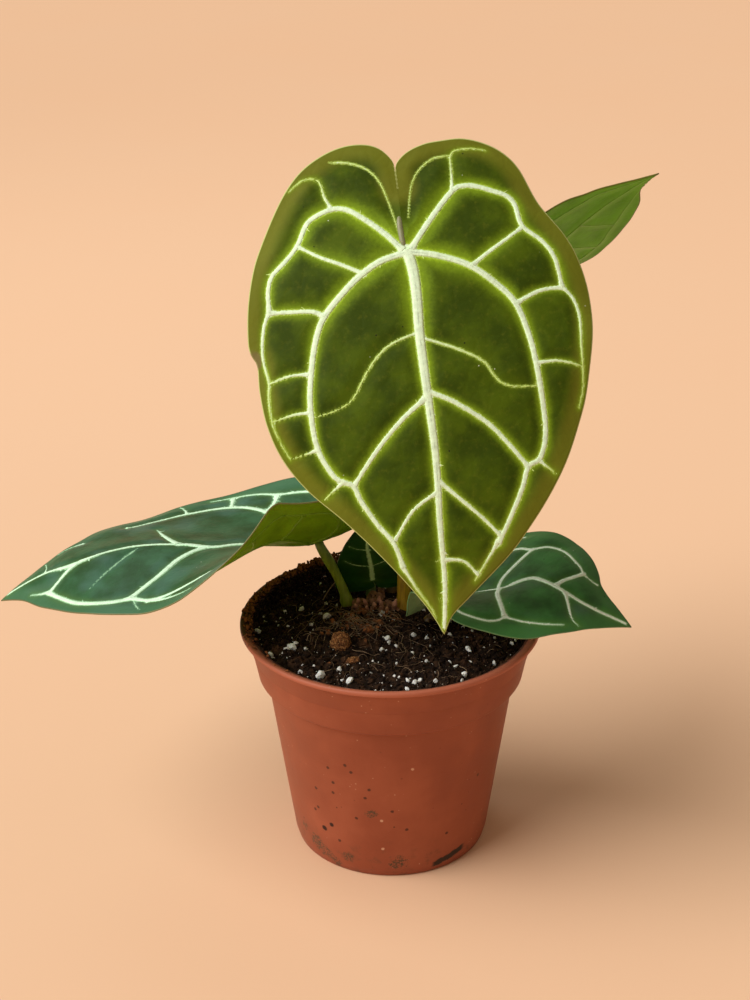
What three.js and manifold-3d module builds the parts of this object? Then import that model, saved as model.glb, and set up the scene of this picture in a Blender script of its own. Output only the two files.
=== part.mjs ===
// Potted crystal anthurium: five heart leaves with a raised pale vein net on slim petioles,
// which rise from a short crown in the potting mix of a tapered plastic nursery pot.
// Millimetres, +Z up, origin at the middle of the pot's underside. -Y is the front of the plant.
import * as THREE from 'three';
import { mergeVertices } from 'three/addons/utils/BufferGeometryUtils.js';
import Module from 'manifold-3d';

const wasm = await Module();
wasm.setup();

// Driving dimensions of the pot
const POT_HEIGHT = 97;
const RIM_RADIUS = 60;
const BAND_FOOT_RADIUS = 53.2;
const BAND_FOOT_HEIGHT = 74.5;
const BODY_TOP_RADIUS = 49.8;
const FOOT_RADIUS = 39;
const WALL = 1.6;
const FLOOR = 2.2;
const FOOT_RING_WIDTH = 3.5;
const CHANNEL_DEPTH = 1.6;
const PAD_RADIUS = 12;
const DRAIN_HOLES = 8;
const DRAIN_RADIUS = 3.2;
const DRAIN_CIRCLE = 24;
const POT_SIDES = 44;

// Driving dimensions of the mix
const SOIL_FRONT = 94.4;
const SOIL_BACK = 91.2;
const MOUND_HEIGHT = 3.4;
const MOUND_RADIUS = 26;
const SOIL_RINGS = 8;
const SOIL_SPOKES = 32;
const FIT_GAP = 0.35;
const GRAINS = 18;
const GRAIN_INNER = 16;
const GRAIN_SPREAD = 34;
const SEED = 7;

// Driving dimensions of the plant
const BLADE_THICKNESS = 0.8;
const NET_GAP = 0.6;
const LENGTH_UNIT = 145;
const MAIN_VEINS = 5;
const WAVES = 3;
const RIDGE_RISE = 0.5;
const RIDGE_SHARE = 0.35;
const RIDGE_TAPER = 0.65;
const BLEND_START = -0.1;
const BLEND_RUN = 0.7;
const WIDTH_UNIT = 62;
const LIFT_RUN = 18;
const PETIOLE_GAP = 0.5;
const RHIZOME_RADIUS = 4.6;

const COLOURS = {
  pot: 0xb15a40,
  soil: 0x2a1d15,
  bark: 0x8a5a38,
  crown: 0x7a5538,
  petiole: 0x6d7a2c,
  net: 0xd7ebbe,
  front: 0x4c5a18,
  left: 0x32593f,
  right: 0x24482a,
  upper: 0x4a6a14,
  centre: 0x1d3a1c,
};

const root = new THREE.Group();

function addNode(name, geometry, colour, roughness) {
  const material = new THREE.MeshStandardMaterial({ color: colour, roughness, metalness: 0 });
  const mesh = new THREE.Mesh(geometry, material);
  mesh.name = name;
  root.add(mesh);
  return mesh;
}

// Joining and cutting closed meshes

function toSolid(geometry) {
  const bare = geometry.clone();
  bare.deleteAttribute('normal');
  bare.deleteAttribute('uv');
  const merged = mergeVertices(bare, 1e-4);
  return new wasm.Manifold(new wasm.Mesh({
    numProp: 3,
    vertProperties: new Float32Array(merged.attributes.position.array),
    triVerts: new Uint32Array(merged.index.array),
  }));
}

function toGeometry(solid) {
  const mesh = solid.getMesh();
  const geometry = new THREE.BufferGeometry();
  geometry.setAttribute('position', new THREE.BufferAttribute(new Float32Array(mesh.vertProperties), 3));
  geometry.setIndex(new THREE.BufferAttribute(new Uint32Array(mesh.triVerts), 1));
  return geometry;
}

// The largest body of a solid, so that no loose scrap is left
function largest(solid) {
  const bodies = solid.decompose();
  bodies.sort((a, b) => b.volume() - a.volume());
  return bodies[0];
}

function fuse(geometries) {
  let whole = toSolid(geometries[0]);
  for (const geometry of geometries.slice(1)) {
    whole = whole.add(toSolid(geometry));
  }
  return toGeometry(largest(whole));
}

function closedGeometry(points, faces) {
  const geometry = new THREE.BufferGeometry();
  const numbers = points.flatMap((p) => p.toArray());
  geometry.setAttribute('position', new THREE.Float32BufferAttribute(numbers, 3));
  geometry.setIndex(faces);
  return geometry;
}

// A repeatable stream of draws from 0 to 1
function randomStream(seed) {
  let state = seed;
  return () => {
    state = (state * 1664525 + 1013904223) % 4294967296;
    return state / 4294967296;
  };
}

const vec = (x, y, z) => new THREE.Vector3(x, y, z);
const flat = (x, y) => new THREE.Vector2(x, y);
const mix = THREE.MathUtils.lerp;
const ease = (x) => THREE.MathUtils.smoothstep(x, 0, 1);
const radians = THREE.MathUtils.degToRad;

// A blade is laid out flat, with u across it and v from the stalk to the tip, on a leaf
// LENGTH_UNIT long, and then bent over its midrib in space.

// Flat outline of each half, from the closed notch round the lobe to the tip
const OUTLINE = {
  left: [[3.5, -24], [5.5, -34], [10, -41], [17, -42.5], [34, -36], [48, -19], [58, 3], [62, 25],
    [59, 52], [49, 80], [36, 97], [22, 113], [10, 129], [0, LENGTH_UNIT]],
  right: [[1.5, -24], [0, -33], [-5, -39], [-20, -42.5], [-33, -38], [-45, -27], [-54, -9],
    [-63, 8], [-66.5, 33], [-62, 58], [-51, 82], [-38, 103], [-23, 120], [-10, 131], [0, LENGTH_UNIT]],
};

// The net that every blade has: collecting veins along the margins, loops in the lobes and ties
const NET = [
  { half: 1.5, path: [[0, 1], [0, 32], [-1, 56], [-2, 80], [-1, 104], [0, 126], [0, 142]] },
  { half: 1.2, path: [[0, 3], [16, 9], [31, 22], [39, 40], [41, 54], [40, 68], [31, 85], [26, 95],
    [17, 108], [8, 127], [0, 141]] },
  { half: 1.2, path: [[0, 3], [-12, 5], [-26, 11], [-38, 26], [-43, 45], [-43, 65], [-40, 84],
    [-33, 93], [-24, 108], [-12, 124], [0, 141]] },
  { half: 1.1, path: [[1, 2], [8, -8], [20, -15], [31, -15], [39, -8], [46, 2], [52, 15], [55, 30],
    [56, 48], [54, 66], [49, 79]] },
  { half: 1.1, path: [[-1, 2], [-10, -13], [-19, -21], [-31, -21], [-40, -15], [-46, -4], [-54, 9],
    [-59, 25], [-61, 42], [-60, 56], [-57, 68]] },
  { half: 0.8, path: [[17, 9], [28, 2], [40, -6]] },
  { half: 0.8, path: [[32, 22], [43, 19], [53, 18]] },
  { half: 0.7, path: [[40, 44], [56, 44]] },
  { half: 0.7, path: [[41, 58], [55, 61]] },
  { half: 0.8, path: [[-25, 10], [-34, -1], [-44, -8]] },
  { half: 0.8, path: [[-38, 26], [-47, 22], [-58, 21]] },
  { half: 0.7, path: [[-43, 48], [-52, 49], [-61, 52]] },
];

// Thin veins in the lobes of the big front blade
const LOBE_NET = [
  { half: 0.8, path: [[27, -16], [29, -24], [32, -30], [39, -29], [46, -22]] },
  { half: 0.7, path: [[3, -1], [5, -21], [10, -30], [18, -35], [28, -36]] },
  { half: 0.8, path: [[-18, -21], [-19, -29], [-19, -38]] },
  { half: 0.7, path: [[-19, -36], [-10, -35], [-4, -27], [-2, -12], [-3, -3]] },
  { half: 0.7, path: [[40, 72], [50, 76]] },
  { half: 0.7, path: [[-41, 83], [-46, 89]] },
];

// Side veins between the midrib and the collecting veins, as each blade shows them
const SIDE_VEINS = {
  front: [
    { half: 0.7, path: [[0, 33], [11, 38], [25, 51], [40, 60]] },
    { half: 1.0, path: [[-1, 57], [9, 65], [25, 79], [31, 86]] },
    { half: 0.9, path: [[-1, 93], [8, 98], [18, 107]] },
    { half: 0.7, path: [[0, 35], [-13, 39], [-28, 52], [-43, 58]] },
    { half: 1.0, path: [[-1, 55], [-12, 61], [-26, 73], [-40, 85]] },
    { half: 0.9, path: [[-1, 88], [-16, 102], [-25, 107]] },
    { half: 0.7, path: [[0, 116], [-7, 119], [-15, 121]] },
  ],
  left: [
    { half: 1.0, path: [[0, 50], [-18, 65], [-41, 80]] },
    { half: 0.8, path: [[-1, 105], [-17, 117]] },
    { half: 1.0, path: [[-1, 62], [18, 68], [40, 70]] },
    { half: 0.8, path: [[-1, 94], [18, 107]] },
  ],
  right: [
    { half: 0.9, path: [[0, 32], [-15, 37], [-29, 42], [-43, 48]] },
    { half: 0.9, path: [[-2, 80], [-12, 87], [-31, 97]] },
    { half: 0.9, path: [[0, 40], [24, 52], [41, 60]] },
    { half: 0.8, path: [[-1, 88], [22, 102]] },
  ],
  upper: [
    { half: 0.9, path: [[-1, 55], [20, 68], [37, 76]] },
    { half: 0.9, path: [[-1, 60], [-20, 72], [-40, 84]] },
    { half: 0.8, path: [[-1, 92], [-26, 106]] },
  ],
  centre: [
    { half: 2.2, path: [[0, 30], [20, 44], [41, 56]] },
    { half: 2.2, path: [[0, 30], [-20, 44], [-43, 56]] },
  ],
};

// Every blade: the four points that steer its midrib, the way its face looks at the stalk and at
// the tip, its width against the front blade, and for each half the angle of fold at the midrib
// and the curl across it, both first at the stalk and then towards the tip. Lobes are their length
// against the front blade's and lift is the angle by which they stand up. The mesh has spokes on
// each half, rings from the stalk to the margin, and veins cut into lengths of about one step.
const BLADES = {
  front: {
    rib: [[6, 5, 248], [9, -26, 212], [18, -45, 166], [21, -52, 118]],
    face: [[0, -0.93, 0.36], [0, -0.99, 0.12]],
    width: 1,
    left: { fold: [0, 0], curl: [-12, -12] },
    right: { fold: [0, 0], curl: [-12, -12] },
    lobes: 1,
    lift: 0,
    wave: 0.9,
    spokes: 21,
    rings: 8,
    step: 11,
  },
  left: {
    rib: [[-30, 14, 124], [-73, 19, 117], [-109, 8, 136], [-154, 9, 100]],
    face: [[0, 0, 1], [0, -0.34, 0.94]],
    width: 1.02,
    left: { fold: [-14, -24], curl: [33, -1] },
    right: { fold: [33, 1], curl: [16, 16] },
    lobes: 0.8,
    lift: 30,
    wave: 0.7,
    spokes: 18,
    rings: 8,
    step: 10,
  },
  right: {
    rib: [[26, 6, 102], [56, -2, 115], [61, -12, 122], [94, -17, 101]],
    face: [[0, -0.24, 0.97], [0.09, -0.43, 0.9]],
    width: 0.78,
    left: { fold: [47, 16], curl: [2, -9] },
    right: { fold: [-4, -15], curl: [-12, -5] },
    lobes: 0.75,
    lift: 0,
    wave: 0.6,
    spokes: 15,
    rings: 7,
    step: 9,
  },
  upper: {
    rib: [[34, 58, 205], [59, 56, 226], [82, 51, 251], [104, 45, 265]],
    face: [[0.04, 0.5, 0.87], [0.21, 0.79, 0.57]],
    width: 0.72,
    left: { fold: [0, -22], curl: [0, 0] },
    right: { fold: [26, 20], curl: [0, 0] },
    lobes: 1,
    lift: 0,
    wave: 0.5,
    spokes: 15,
    rings: 6,
    step: 11,
  },
  centre: {
    rib: [[-7, 22, 102.5], [-8, 22, 109.5], [-8, 22, 116.5], [-9, 22, 123.5]],
    face: [[0.04, -1, 0.09], [0.06, -1, 0.09]],
    width: 0.26,
    left: { fold: [5, 0], curl: [0, 0] },
    right: { fold: [4, 22], curl: [0, 0] },
    lobes: 0.6,
    lift: 0,
    wave: 0.2,
    spokes: 11,
    rings: 4,
    step: 6,
  },
};

// The bent surface of one blade
class BladeSurface {
  constructor(spec) {
    this.spec = spec;
    this.rib = new THREE.CubicBezierCurve3(...spec.rib.map((p) => vec(...p)));
    this.length = this.rib.getLength();
    this.scale = this.length / LENGTH_UNIT;
    this.faces = spec.face.map((p) => vec(...p).normalize());
  }

  // A point of the blade from its flat place, raised off its upper face by lift millimetres
  at(u, v, lift = 0) {
    const point = this.bend(u, v);
    if (lift === 0) return point;
    return point.addScaledVector(this.normal(u, v), lift);
  }

  normal(u, v) {
    const step = 0.5;
    const along = this.bend(u, v + step).sub(this.bend(u, v - step));
    const across = this.bend(u + step, v).sub(this.bend(u - step, v));
    return across.cross(along).normalize();
  }

  bend(u, v) {
    const { spec, length, scale } = this;
    const down = (v < 0 ? v * spec.lobes : v) * scale;
    const t = THREE.MathUtils.clamp(down / length, 0, 1);
    const along = this.rib.getTangentAt(t);
    const facing = this.faces[0].clone().lerp(this.faces[1], t).normalize();
    const across = along.clone().cross(facing).normalize();
    const up = across.clone().cross(along);
    const side = u >= 0 ? spec.left : spec.right;
    const blend = ease((down / length - BLEND_START) / BLEND_RUN);
    const fold = radians(mix(side.fold[0], side.fold[1], blend));
    const curl = radians(mix(side.curl[0], side.curl[1], blend)) / (WIDTH_UNIT * spec.width);
    const reach = Math.abs(u) * spec.width;
    const turned = fold + curl * reach;
    const straight = Math.abs(curl) < 1e-6;
    const out = straight ? Math.cos(fold) * reach : (Math.sin(turned) - Math.sin(fold)) / curl;
    let rise = straight ? Math.sin(fold) * reach : (Math.cos(fold) - Math.cos(turned)) / curl;
    rise += this.wave(u, v);
    const point = this.rib.getPointAt(t);
    const [back, raised] = this.lobeReach(Math.max(-down, 0));
    point.addScaledVector(along, -back);
    point.addScaledVector(up, raised + rise);
    point.addScaledVector(across, Math.sign(u) * out);
    return point;
  }

  // How far back and up a place lies that is distance behind the stalk, along an arc and then
  // straight on
  lobeReach(distance) {
    const lift = radians(this.spec.lift);
    if (lift === 0) return [distance, 0];
    const radius = LIFT_RUN / lift;
    const turned = Math.min(distance / radius, lift);
    const beyond = Math.max(distance - LIFT_RUN, 0);
    const back = radius * Math.sin(turned) + beyond * Math.cos(lift);
    const raised = radius * (1 - Math.cos(turned)) + beyond * Math.sin(lift);
    return [back, raised];
  }

  // Soft waves that grow towards the margin
  wave(u, v) {
    const edge = (u / WIDTH_UNIT) ** 2;
    const phase = u >= 0 ? 0 : 1.7;
    return this.spec.wave * edge * Math.sin((Math.PI * 2 * WAVES * v) / LENGTH_UNIT + phase);
  }
}

function margin(spec) {
  const half = (points) => new THREE.SplineCurve(points.map((p) => flat(...p))).getSpacedPoints(spec.spokes);
  const left = half(OUTLINE.left);
  const right = half(OUTLINE.right).reverse();
  return [...left, ...right.slice(1)];
}

// Rows of points from the stalk out to the margin, alike on the upper and the lower face
function bladeGeometry(surface) {
  const edge = margin(surface.spec);
  const rings = surface.spec.rings;
  const points = [];
  const faces = [];
  for (const lift of [0, -BLADE_THICKNESS]) {
    points.push(surface.at(0, 0, lift));
    for (let k = 1; k <= rings; k += 1) {
      for (const place of edge) {
        const share = k / rings;
        points.push(surface.at(place.x * share, place.y * share, lift));
      }
    }
  }
  const perFace = 1 + rings * edge.length;
  const at = (face, k, i) => (k === 0 ? face * perFace : face * perFace + 1 + (k - 1) * edge.length + i);
  const quad = (a, b, c, d) => {
    faces.push(a, b, c, a, c, d);
  };
  const last = edge.length - 1;
  for (let i = 0; i < last; i += 1) {
    faces.push(at(0, 0, 0), at(0, 1, i + 1), at(0, 1, i));
    faces.push(at(1, 0, 0), at(1, 1, i), at(1, 1, i + 1));
    for (let k = 1; k < rings; k += 1) {
      quad(at(0, k, i), at(0, k, i + 1), at(0, k + 1, i + 1), at(0, k + 1, i));
      quad(at(1, k, i), at(1, k + 1, i), at(1, k + 1, i + 1), at(1, k, i + 1));
    }
    quad(at(0, rings, i), at(0, rings, i + 1), at(1, rings, i + 1), at(1, rings, i));
  }
  for (let k = 0; k < rings; k += 1) {
    quad(at(0, k, 0), at(0, k + 1, 0), at(1, k + 1, 0), at(1, k, 0));
    quad(at(0, k + 1, last), at(0, k, last), at(1, k, last), at(1, k + 1, last));
  }
  return closedGeometry(points, faces);
}

// One raised vein: a ridge with a flat foot, over the blade and as bent as it
function veinGeometry(surface, vein) {
  const curve = new THREE.SplineCurve(vein.path.map((p) => flat(...p)));
  const count = Math.max(1, Math.round((curve.getLength() * surface.scale) / surface.spec.step));
  const size = Math.max(surface.scale, 0.6);
  const points = [];
  const faces = [];
  for (let i = 0; i <= count; i += 1) {
    const t = i / count;
    const place = curve.getPointAt(t);
    const along = curve.getTangentAt(t);
    const half = vein.half * mix(1, RIDGE_TAPER, t);
    const side = flat(-along.y, along.x).multiplyScalar(half);
    points.push(surface.at(place.x + side.x, place.y + side.y, NET_GAP));
    points.push(surface.at(place.x - side.x, place.y - side.y, NET_GAP));
    points.push(surface.at(place.x, place.y, NET_GAP + (RIDGE_RISE + RIDGE_SHARE * half) * size));
  }
  const quad = (a, b, c, d) => {
    faces.push(a, b, c, a, c, d);
  };
  for (let i = 0; i < count; i += 1) {
    const a = i * 3;
    const b = a + 3;
    quad(a, a + 1, b + 1, b);
    quad(a + 1, a + 2, b + 2, b + 1);
    quad(a + 2, a, b, b + 2);
  }
  const end = count * 3;
  faces.push(0, 2, 1, end, end + 1, end + 2);
  return closedGeometry(points, faces);
}

// Turns a closed mesh right way out
function facingOut(geometry) {
  const solid = toSolid(geometry);
  if (solid.volume() > 0) return geometry;
  const index = Array.from(geometry.index.array);
  for (let i = 0; i < index.length; i += 3) {
    [index[i], index[i + 1]] = [index[i + 1], index[i]];
  }
  geometry.setIndex(index);
  return geometry;
}

const surfaces = {};
for (const [name, spec] of Object.entries(BLADES)) {
  const surface = new BladeSurface(spec);
  surfaces[name] = surface;
  addNode(`leaf_${name}`, facingOut(bladeGeometry(surface)), COLOURS[name], 0.6);
}

function netPaths(name) {
  if (name === 'centre') {
    return [{ half: 2.6, path: NET[0].path }, ...SIDE_VEINS.centre];
  }
  const lobes = name === 'front' ? LOBE_NET : [];
  const shared = name === 'upper' ? NET.slice(0, MAIN_VEINS) : NET;
  return [...shared, ...lobes, ...SIDE_VEINS[name]];
}

for (const [name, surface] of Object.entries(surfaces)) {
  const ridges = netPaths(name).map((vein) => facingOut(veinGeometry(surface, vein)));
  addNode(`veins_${name}`, fuse(ridges), COLOURS.net, 0.7);
}

// Petioles: each stands deep in the mix and bends at its top to meet the blade from below.
// The points lead from the foot towards the blade, and radius is at the foot and at the top.
const PETIOLES = {
  front: {
    points: [[4.5, 9, 80], [5.5, 11, 96], [6, 17, 150], [6, 21, 205], [6, 19, 232]],
    radius: [2.9, 2],
  },
  left: { points: [[-16, 14, 80], [-18, 14.5, 95], [-24, 15.5, 106]], radius: [2.9, 2] },
  right: { points: [[10.5, 2, 82], [14, 3, 92], [20, 4.5, 96]], radius: [2, 1.6] },
  upper: { points: [[0, 26.5, 80], [1.5, 28, 96], [12, 39, 130], [27, 50, 178]], radius: [2.5, 1.7] },
  centre: { points: [[-8, 25, 82], [-8, 26, 92]], radius: [1.8, 1.4] },
};
const PETIOLE_SIDES = 8;
const PETIOLE_STEP = 11;
const BEND_DEPTH = 9;

// A round stalk with closed ends along a curve, grown by extra all round
function stalkGeometry(curve, radius, extra = 0) {
  const count = Math.max(4, Math.round(curve.getLength() / PETIOLE_STEP));
  const frames = curve.computeFrenetFrames(count, false);
  const points = [];
  const faces = [];
  for (let i = 0; i <= count; i += 1) {
    const t = i / count;
    const centre = curve.getPointAt(t);
    if (i === 0) centre.addScaledVector(frames.tangents[0], -extra);
    if (i === count) centre.addScaledVector(frames.tangents[count], extra);
    const size = mix(radius[0], radius[1], ease(t * 1.6)) + extra;
    for (let k = 0; k < PETIOLE_SIDES; k += 1) {
      const angle = (k / PETIOLE_SIDES) * Math.PI * 2;
      const spoke = frames.normals[i].clone().multiplyScalar(Math.cos(angle) * size);
      spoke.addScaledVector(frames.binormals[i], Math.sin(angle) * size);
      points.push(centre.clone().add(spoke));
    }
  }
  const ring = (i, k) => i * PETIOLE_SIDES + (k % PETIOLE_SIDES);
  for (let i = 0; i < count; i += 1) {
    for (let k = 0; k < PETIOLE_SIDES; k += 1) {
      faces.push(ring(i, k), ring(i, k + 1), ring(i + 1, k + 1));
      faces.push(ring(i, k), ring(i + 1, k + 1), ring(i + 1, k));
    }
  }
  for (let k = 1; k < PETIOLE_SIDES - 1; k += 1) {
    faces.push(ring(0, 0), ring(0, k + 1), ring(0, k));
    faces.push(ring(count, 0), ring(count, k), ring(count, k + 1));
  }
  return facingOut(closedGeometry(points, faces));
}

function petioleCurve(name) {
  const surface = surfaces[name];
  const points = PETIOLES[name].points.map((p) => vec(...p));
  points.push(surface.at(0, 2, -BEND_DEPTH * Math.max(surface.scale, 0.5)));
  points.push(surface.at(0, 2, -BLADE_THICKNESS - PETIOLE_GAP));
  return new THREE.CatmullRomCurve3(points, false, 'centripetal');
}

const stalks = {};
for (const [name, spec] of Object.entries(PETIOLES)) {
  stalks[name] = { curve: petioleCurve(name), radius: spec.radius };
  addNode(`petiole_${name}`, stalkGeometry(stalks[name].curve, spec.radius), COLOURS.petiole, 0.5);
}

const stalkSolid = ({ curve, radius }, extra) => toSolid(stalkGeometry(curve, radius, extra));

// Crown: a short creeping rhizome with an offshoot behind, its root buds standing out of it
const CROWN_ARMS = [
  [[-18, 13.5, 91], [-6, 13.5, 92.2], [7, 10, 91]],
  [[-6, 14, 91], [-5.5, 20, 91], [-3, 27, 90.5]],
];
const BUDS = 6;
const BUD_RADIUS = 1.7;

function armGeometry(points, extra) {
  const curve = new THREE.CatmullRomCurve3(points.map((p) => vec(...p)));
  return stalkGeometry(curve, [RHIZOME_RADIUS, RHIZOME_RADIUS], extra);
}

function budGeometries(extra) {
  const draw = randomStream(SEED);
  const ridge = new THREE.CatmullRomCurve3(CROWN_ARMS[0].map((p) => vec(...p)));
  const buds = [];
  for (let i = 0; i < BUDS; i += 1) {
    const centre = ridge.getPointAt((i + 0.5) / BUDS);
    const angle = radians(48 + 34 * draw());
    centre.y += (i % 2 === 0 ? -1 : 1) * RHIZOME_RADIUS * Math.cos(angle);
    centre.z += RHIZOME_RADIUS * Math.sin(angle);
    const bud = new THREE.IcosahedronGeometry(BUD_RADIUS * (0.8 + 0.5 * draw()) + extra);
    bud.translate(centre.x, centre.y, centre.z);
    buds.push(bud);
  }
  return buds;
}

// The crown's outside, grown by extra all round
function crownOutside(extra) {
  return fuse([...CROWN_ARMS.map((points) => armGeometry(points, extra)), ...budGeometries(extra)]);
}

function crownGeometry() {
  let body = toSolid(crownOutside(0));
  for (const stalk of Object.values(stalks)) {
    body = body.subtract(stalkSolid(stalk, FIT_GAP));
  }
  return toGeometry(largest(body));
}

addNode('crown', crownGeometry(), COLOURS.crown, 0.9);

// Bark chunks that lie in shallow seats in the mix: place, half sizes and turn
const BARK = {
  bark_ball: { place: [-19, -17, 95.2], size: [4.6, 4.2, 3.8], turn: 0.4 },
  bark_chip: { place: [-13, -29, 94.6], size: [4.4, 2.6, 1.5], turn: 0.2 },
  bark_flake: { place: [30, 24, 92.4], size: [5, 3.2, 1.8], turn: 1.1 },
};

function barkGeometry(spec, extra = 0) {
  const chunk = new THREE.IcosahedronGeometry(1, 1);
  chunk.scale(...spec.size.map((half) => half + extra));
  chunk.rotateZ(spec.turn);
  chunk.translate(...spec.place);
  return chunk;
}

for (const [name, spec] of Object.entries(BARK)) {
  addNode(name, barkGeometry(spec), COLOURS.bark, 0.9);
}

// Pot: a lathe profile from the middle of the underside, up the outside, over the lip and down
// the inside to the floor. It rests on its foot ring and on a pad in the middle.
const FLOOR_TOP = CHANNEL_DEPTH + FLOOR;
const POT_OUTSIDE = [
  [0, 0],
  [PAD_RADIUS, 0],
  [PAD_RADIUS + 0.8, CHANNEL_DEPTH],
  [FOOT_RADIUS - FOOT_RING_WIDTH - 0.8, CHANNEL_DEPTH],
  [FOOT_RADIUS - FOOT_RING_WIDTH, 0],
  [FOOT_RADIUS, 0],
  [FOOT_RADIUS + 1, 4],
  [BODY_TOP_RADIUS, BAND_FOOT_HEIGHT - 1.5],
  [BAND_FOOT_RADIUS, BAND_FOOT_HEIGHT],
  [RIM_RADIUS - 2.7, POT_HEIGHT - 3],
  [RIM_RADIUS - 1.8, POT_HEIGHT - 2.4],
  [RIM_RADIUS, POT_HEIGHT - 1.8],
  [RIM_RADIUS, POT_HEIGHT - 0.5],
  [RIM_RADIUS - 0.5, POT_HEIGHT],
  [RIM_RADIUS - 1.8, POT_HEIGHT],
];
const POT_INSIDE = [
  [RIM_RADIUS - 2.7 - WALL, POT_HEIGHT - 3],
  [BAND_FOOT_RADIUS - WALL, BAND_FOOT_HEIGHT],
  [BODY_TOP_RADIUS - WALL, BAND_FOOT_HEIGHT - 1.8],
  [FOOT_RADIUS + 1 - WALL, FLOOR_TOP + 1],
  [FOOT_RADIUS - WALL, FLOOR_TOP],
];

function lathe(profile) {
  const turned = new THREE.LatheGeometry(profile.map((p) => flat(...p)), POT_SIDES);
  turned.rotateX(Math.PI / 2);
  return facingOut(closedLathe(turned));
}

// Merges the seam and drops the collapsed triangles on the axis
function closedLathe(geometry) {
  geometry.deleteAttribute('normal');
  geometry.deleteAttribute('uv');
  const merged = mergeVertices(geometry, 1e-4);
  const index = Array.from(merged.index.array);
  const kept = [];
  for (let i = 0; i < index.length; i += 3) {
    const [a, b, c] = index.slice(i, i + 3);
    if (a !== b && b !== c && c !== a) kept.push(a, b, c);
  }
  merged.setIndex(kept);
  return merged;
}

function potGeometry() {
  let pot = toSolid(lathe([...POT_OUTSIDE, ...POT_INSIDE, [0, FLOOR_TOP]]));
  for (let i = 0; i < DRAIN_HOLES; i += 1) {
    const angle = (i / DRAIN_HOLES) * Math.PI * 2;
    const drill = new THREE.CylinderGeometry(DRAIN_RADIUS, DRAIN_RADIUS, 4 * FLOOR_TOP, 8);
    drill.rotateX(Math.PI / 2);
    drill.translate(DRAIN_CIRCLE * Math.cos(angle), DRAIN_CIRCLE * Math.sin(angle), 0);
    pot = pot.subtract(toSolid(drill));
  }
  return toGeometry(pot);
}

addNode('pot', potGeometry(), COLOURS.pot, 0.55);

// Mix: fills the pot up to a lumpy top with a low mound round the crown and white grains on it
const MOUND = flat(-12, 4);

function soilHeight(x, y) {
  const level = mix(SOIL_FRONT, SOIL_BACK, ease((y + RIM_RADIUS) / (2 * RIM_RADIUS)));
  const away = flat(x, y).distanceTo(MOUND) / MOUND_RADIUS;
  const lumps = 0.5 * Math.sin(x * 0.31 + 1) * Math.cos(y * 0.27) + 0.35 * Math.sin(x * 0.7 + y * 0.55);
  const rimFall = 1.2 * ease((Math.hypot(x, y) - 44) / 12);
  return level + MOUND_HEIGHT * Math.exp(-away * away) + lumps - rimFall;
}

// The pot's inner radius at a height, less the gap that the mix keeps to it
function soilRadius(height) {
  const upper = POT_INSIDE.findIndex((p) => p[1] <= height);
  const [r1, z1] = POT_INSIDE[upper - 1];
  const [r0, z0] = POT_INSIDE[upper];
  return mix(r0, r1, (height - z0) / (z1 - z0)) - FIT_GAP;
}

function soilGeometry() {
  const points = [];
  const faces = [];
  const top = soilRadius(SOIL_BACK - 1);
  const angleOf = (i) => (i / SOIL_SPOKES) * Math.PI * 2;
  points.push(vec(0, 0, soilHeight(0, 0)));
  for (let k = 1; k <= SOIL_RINGS; k += 1) {
    for (let i = 0; i < SOIL_SPOKES; i += 1) {
      const x = (top * k * Math.cos(angleOf(i))) / SOIL_RINGS;
      const y = (top * k * Math.sin(angleOf(i))) / SOIL_RINGS;
      points.push(vec(x, y, soilHeight(x, y)));
    }
  }
  const below = POT_INSIDE.slice(1).map(([r, z]) => [r - FIT_GAP, z + FIT_GAP]);
  for (const [r, z] of below) {
    for (let i = 0; i < SOIL_SPOKES; i += 1) {
      points.push(vec(r * Math.cos(angleOf(i)), r * Math.sin(angleOf(i)), z));
    }
  }
  points.push(vec(0, 0, below[below.length - 1][1]));
  const rows = SOIL_RINGS + below.length;
  const at = (k, i) => 1 + (k - 1) * SOIL_SPOKES + (i % SOIL_SPOKES);
  for (let i = 0; i < SOIL_SPOKES; i += 1) {
    faces.push(0, at(1, i), at(1, i + 1));
    for (let k = 1; k < rows; k += 1) {
      faces.push(at(k, i), at(k + 1, i), at(k + 1, i + 1), at(k, i), at(k + 1, i + 1), at(k, i + 1));
    }
    faces.push(points.length - 1, at(rows, i + 1), at(rows, i));
  }
  return facingOut(closedGeometry(points, faces));
}

function grainGeometries() {
  const draw = randomStream(SEED + 1);
  const grains = [];
  while (grains.length < GRAINS) {
    const angle = draw() * Math.PI * 2;
    const reach = GRAIN_INNER + GRAIN_SPREAD * Math.sqrt(draw());
    const x = reach * Math.cos(angle);
    const y = reach * Math.sin(angle);
    const grain = new THREE.OctahedronGeometry(1 + draw());
    grain.rotateX(draw() * 3);
    grain.rotateY(draw() * 3);
    grain.translate(x, y, soilHeight(x, y) + 0.2);
    grains.push(grain);
  }
  return grains;
}

function mixGeometry() {
  let mixBody = toSolid(fuse([soilGeometry(), ...grainGeometries()]));
  for (const stalk of Object.values(stalks)) {
    mixBody = mixBody.subtract(stalkSolid(stalk, FIT_GAP));
  }
  mixBody = mixBody.subtract(toSolid(crownOutside(FIT_GAP * 1.3)));
  for (const spec of Object.values(BARK)) {
    mixBody = mixBody.subtract(toSolid(barkGeometry(spec, FIT_GAP)));
  }
  return toGeometry(largest(mixBody));
}

addNode('soil', mixGeometry(), COLOURS.soil, 0.95);

export default root;
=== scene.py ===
import math
import random

import bmesh
import bpy
import numpy as np
from bpy.props import FloatProperty, FloatVectorProperty, IntProperty, PointerProperty
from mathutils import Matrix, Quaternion, Vector, noise


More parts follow.
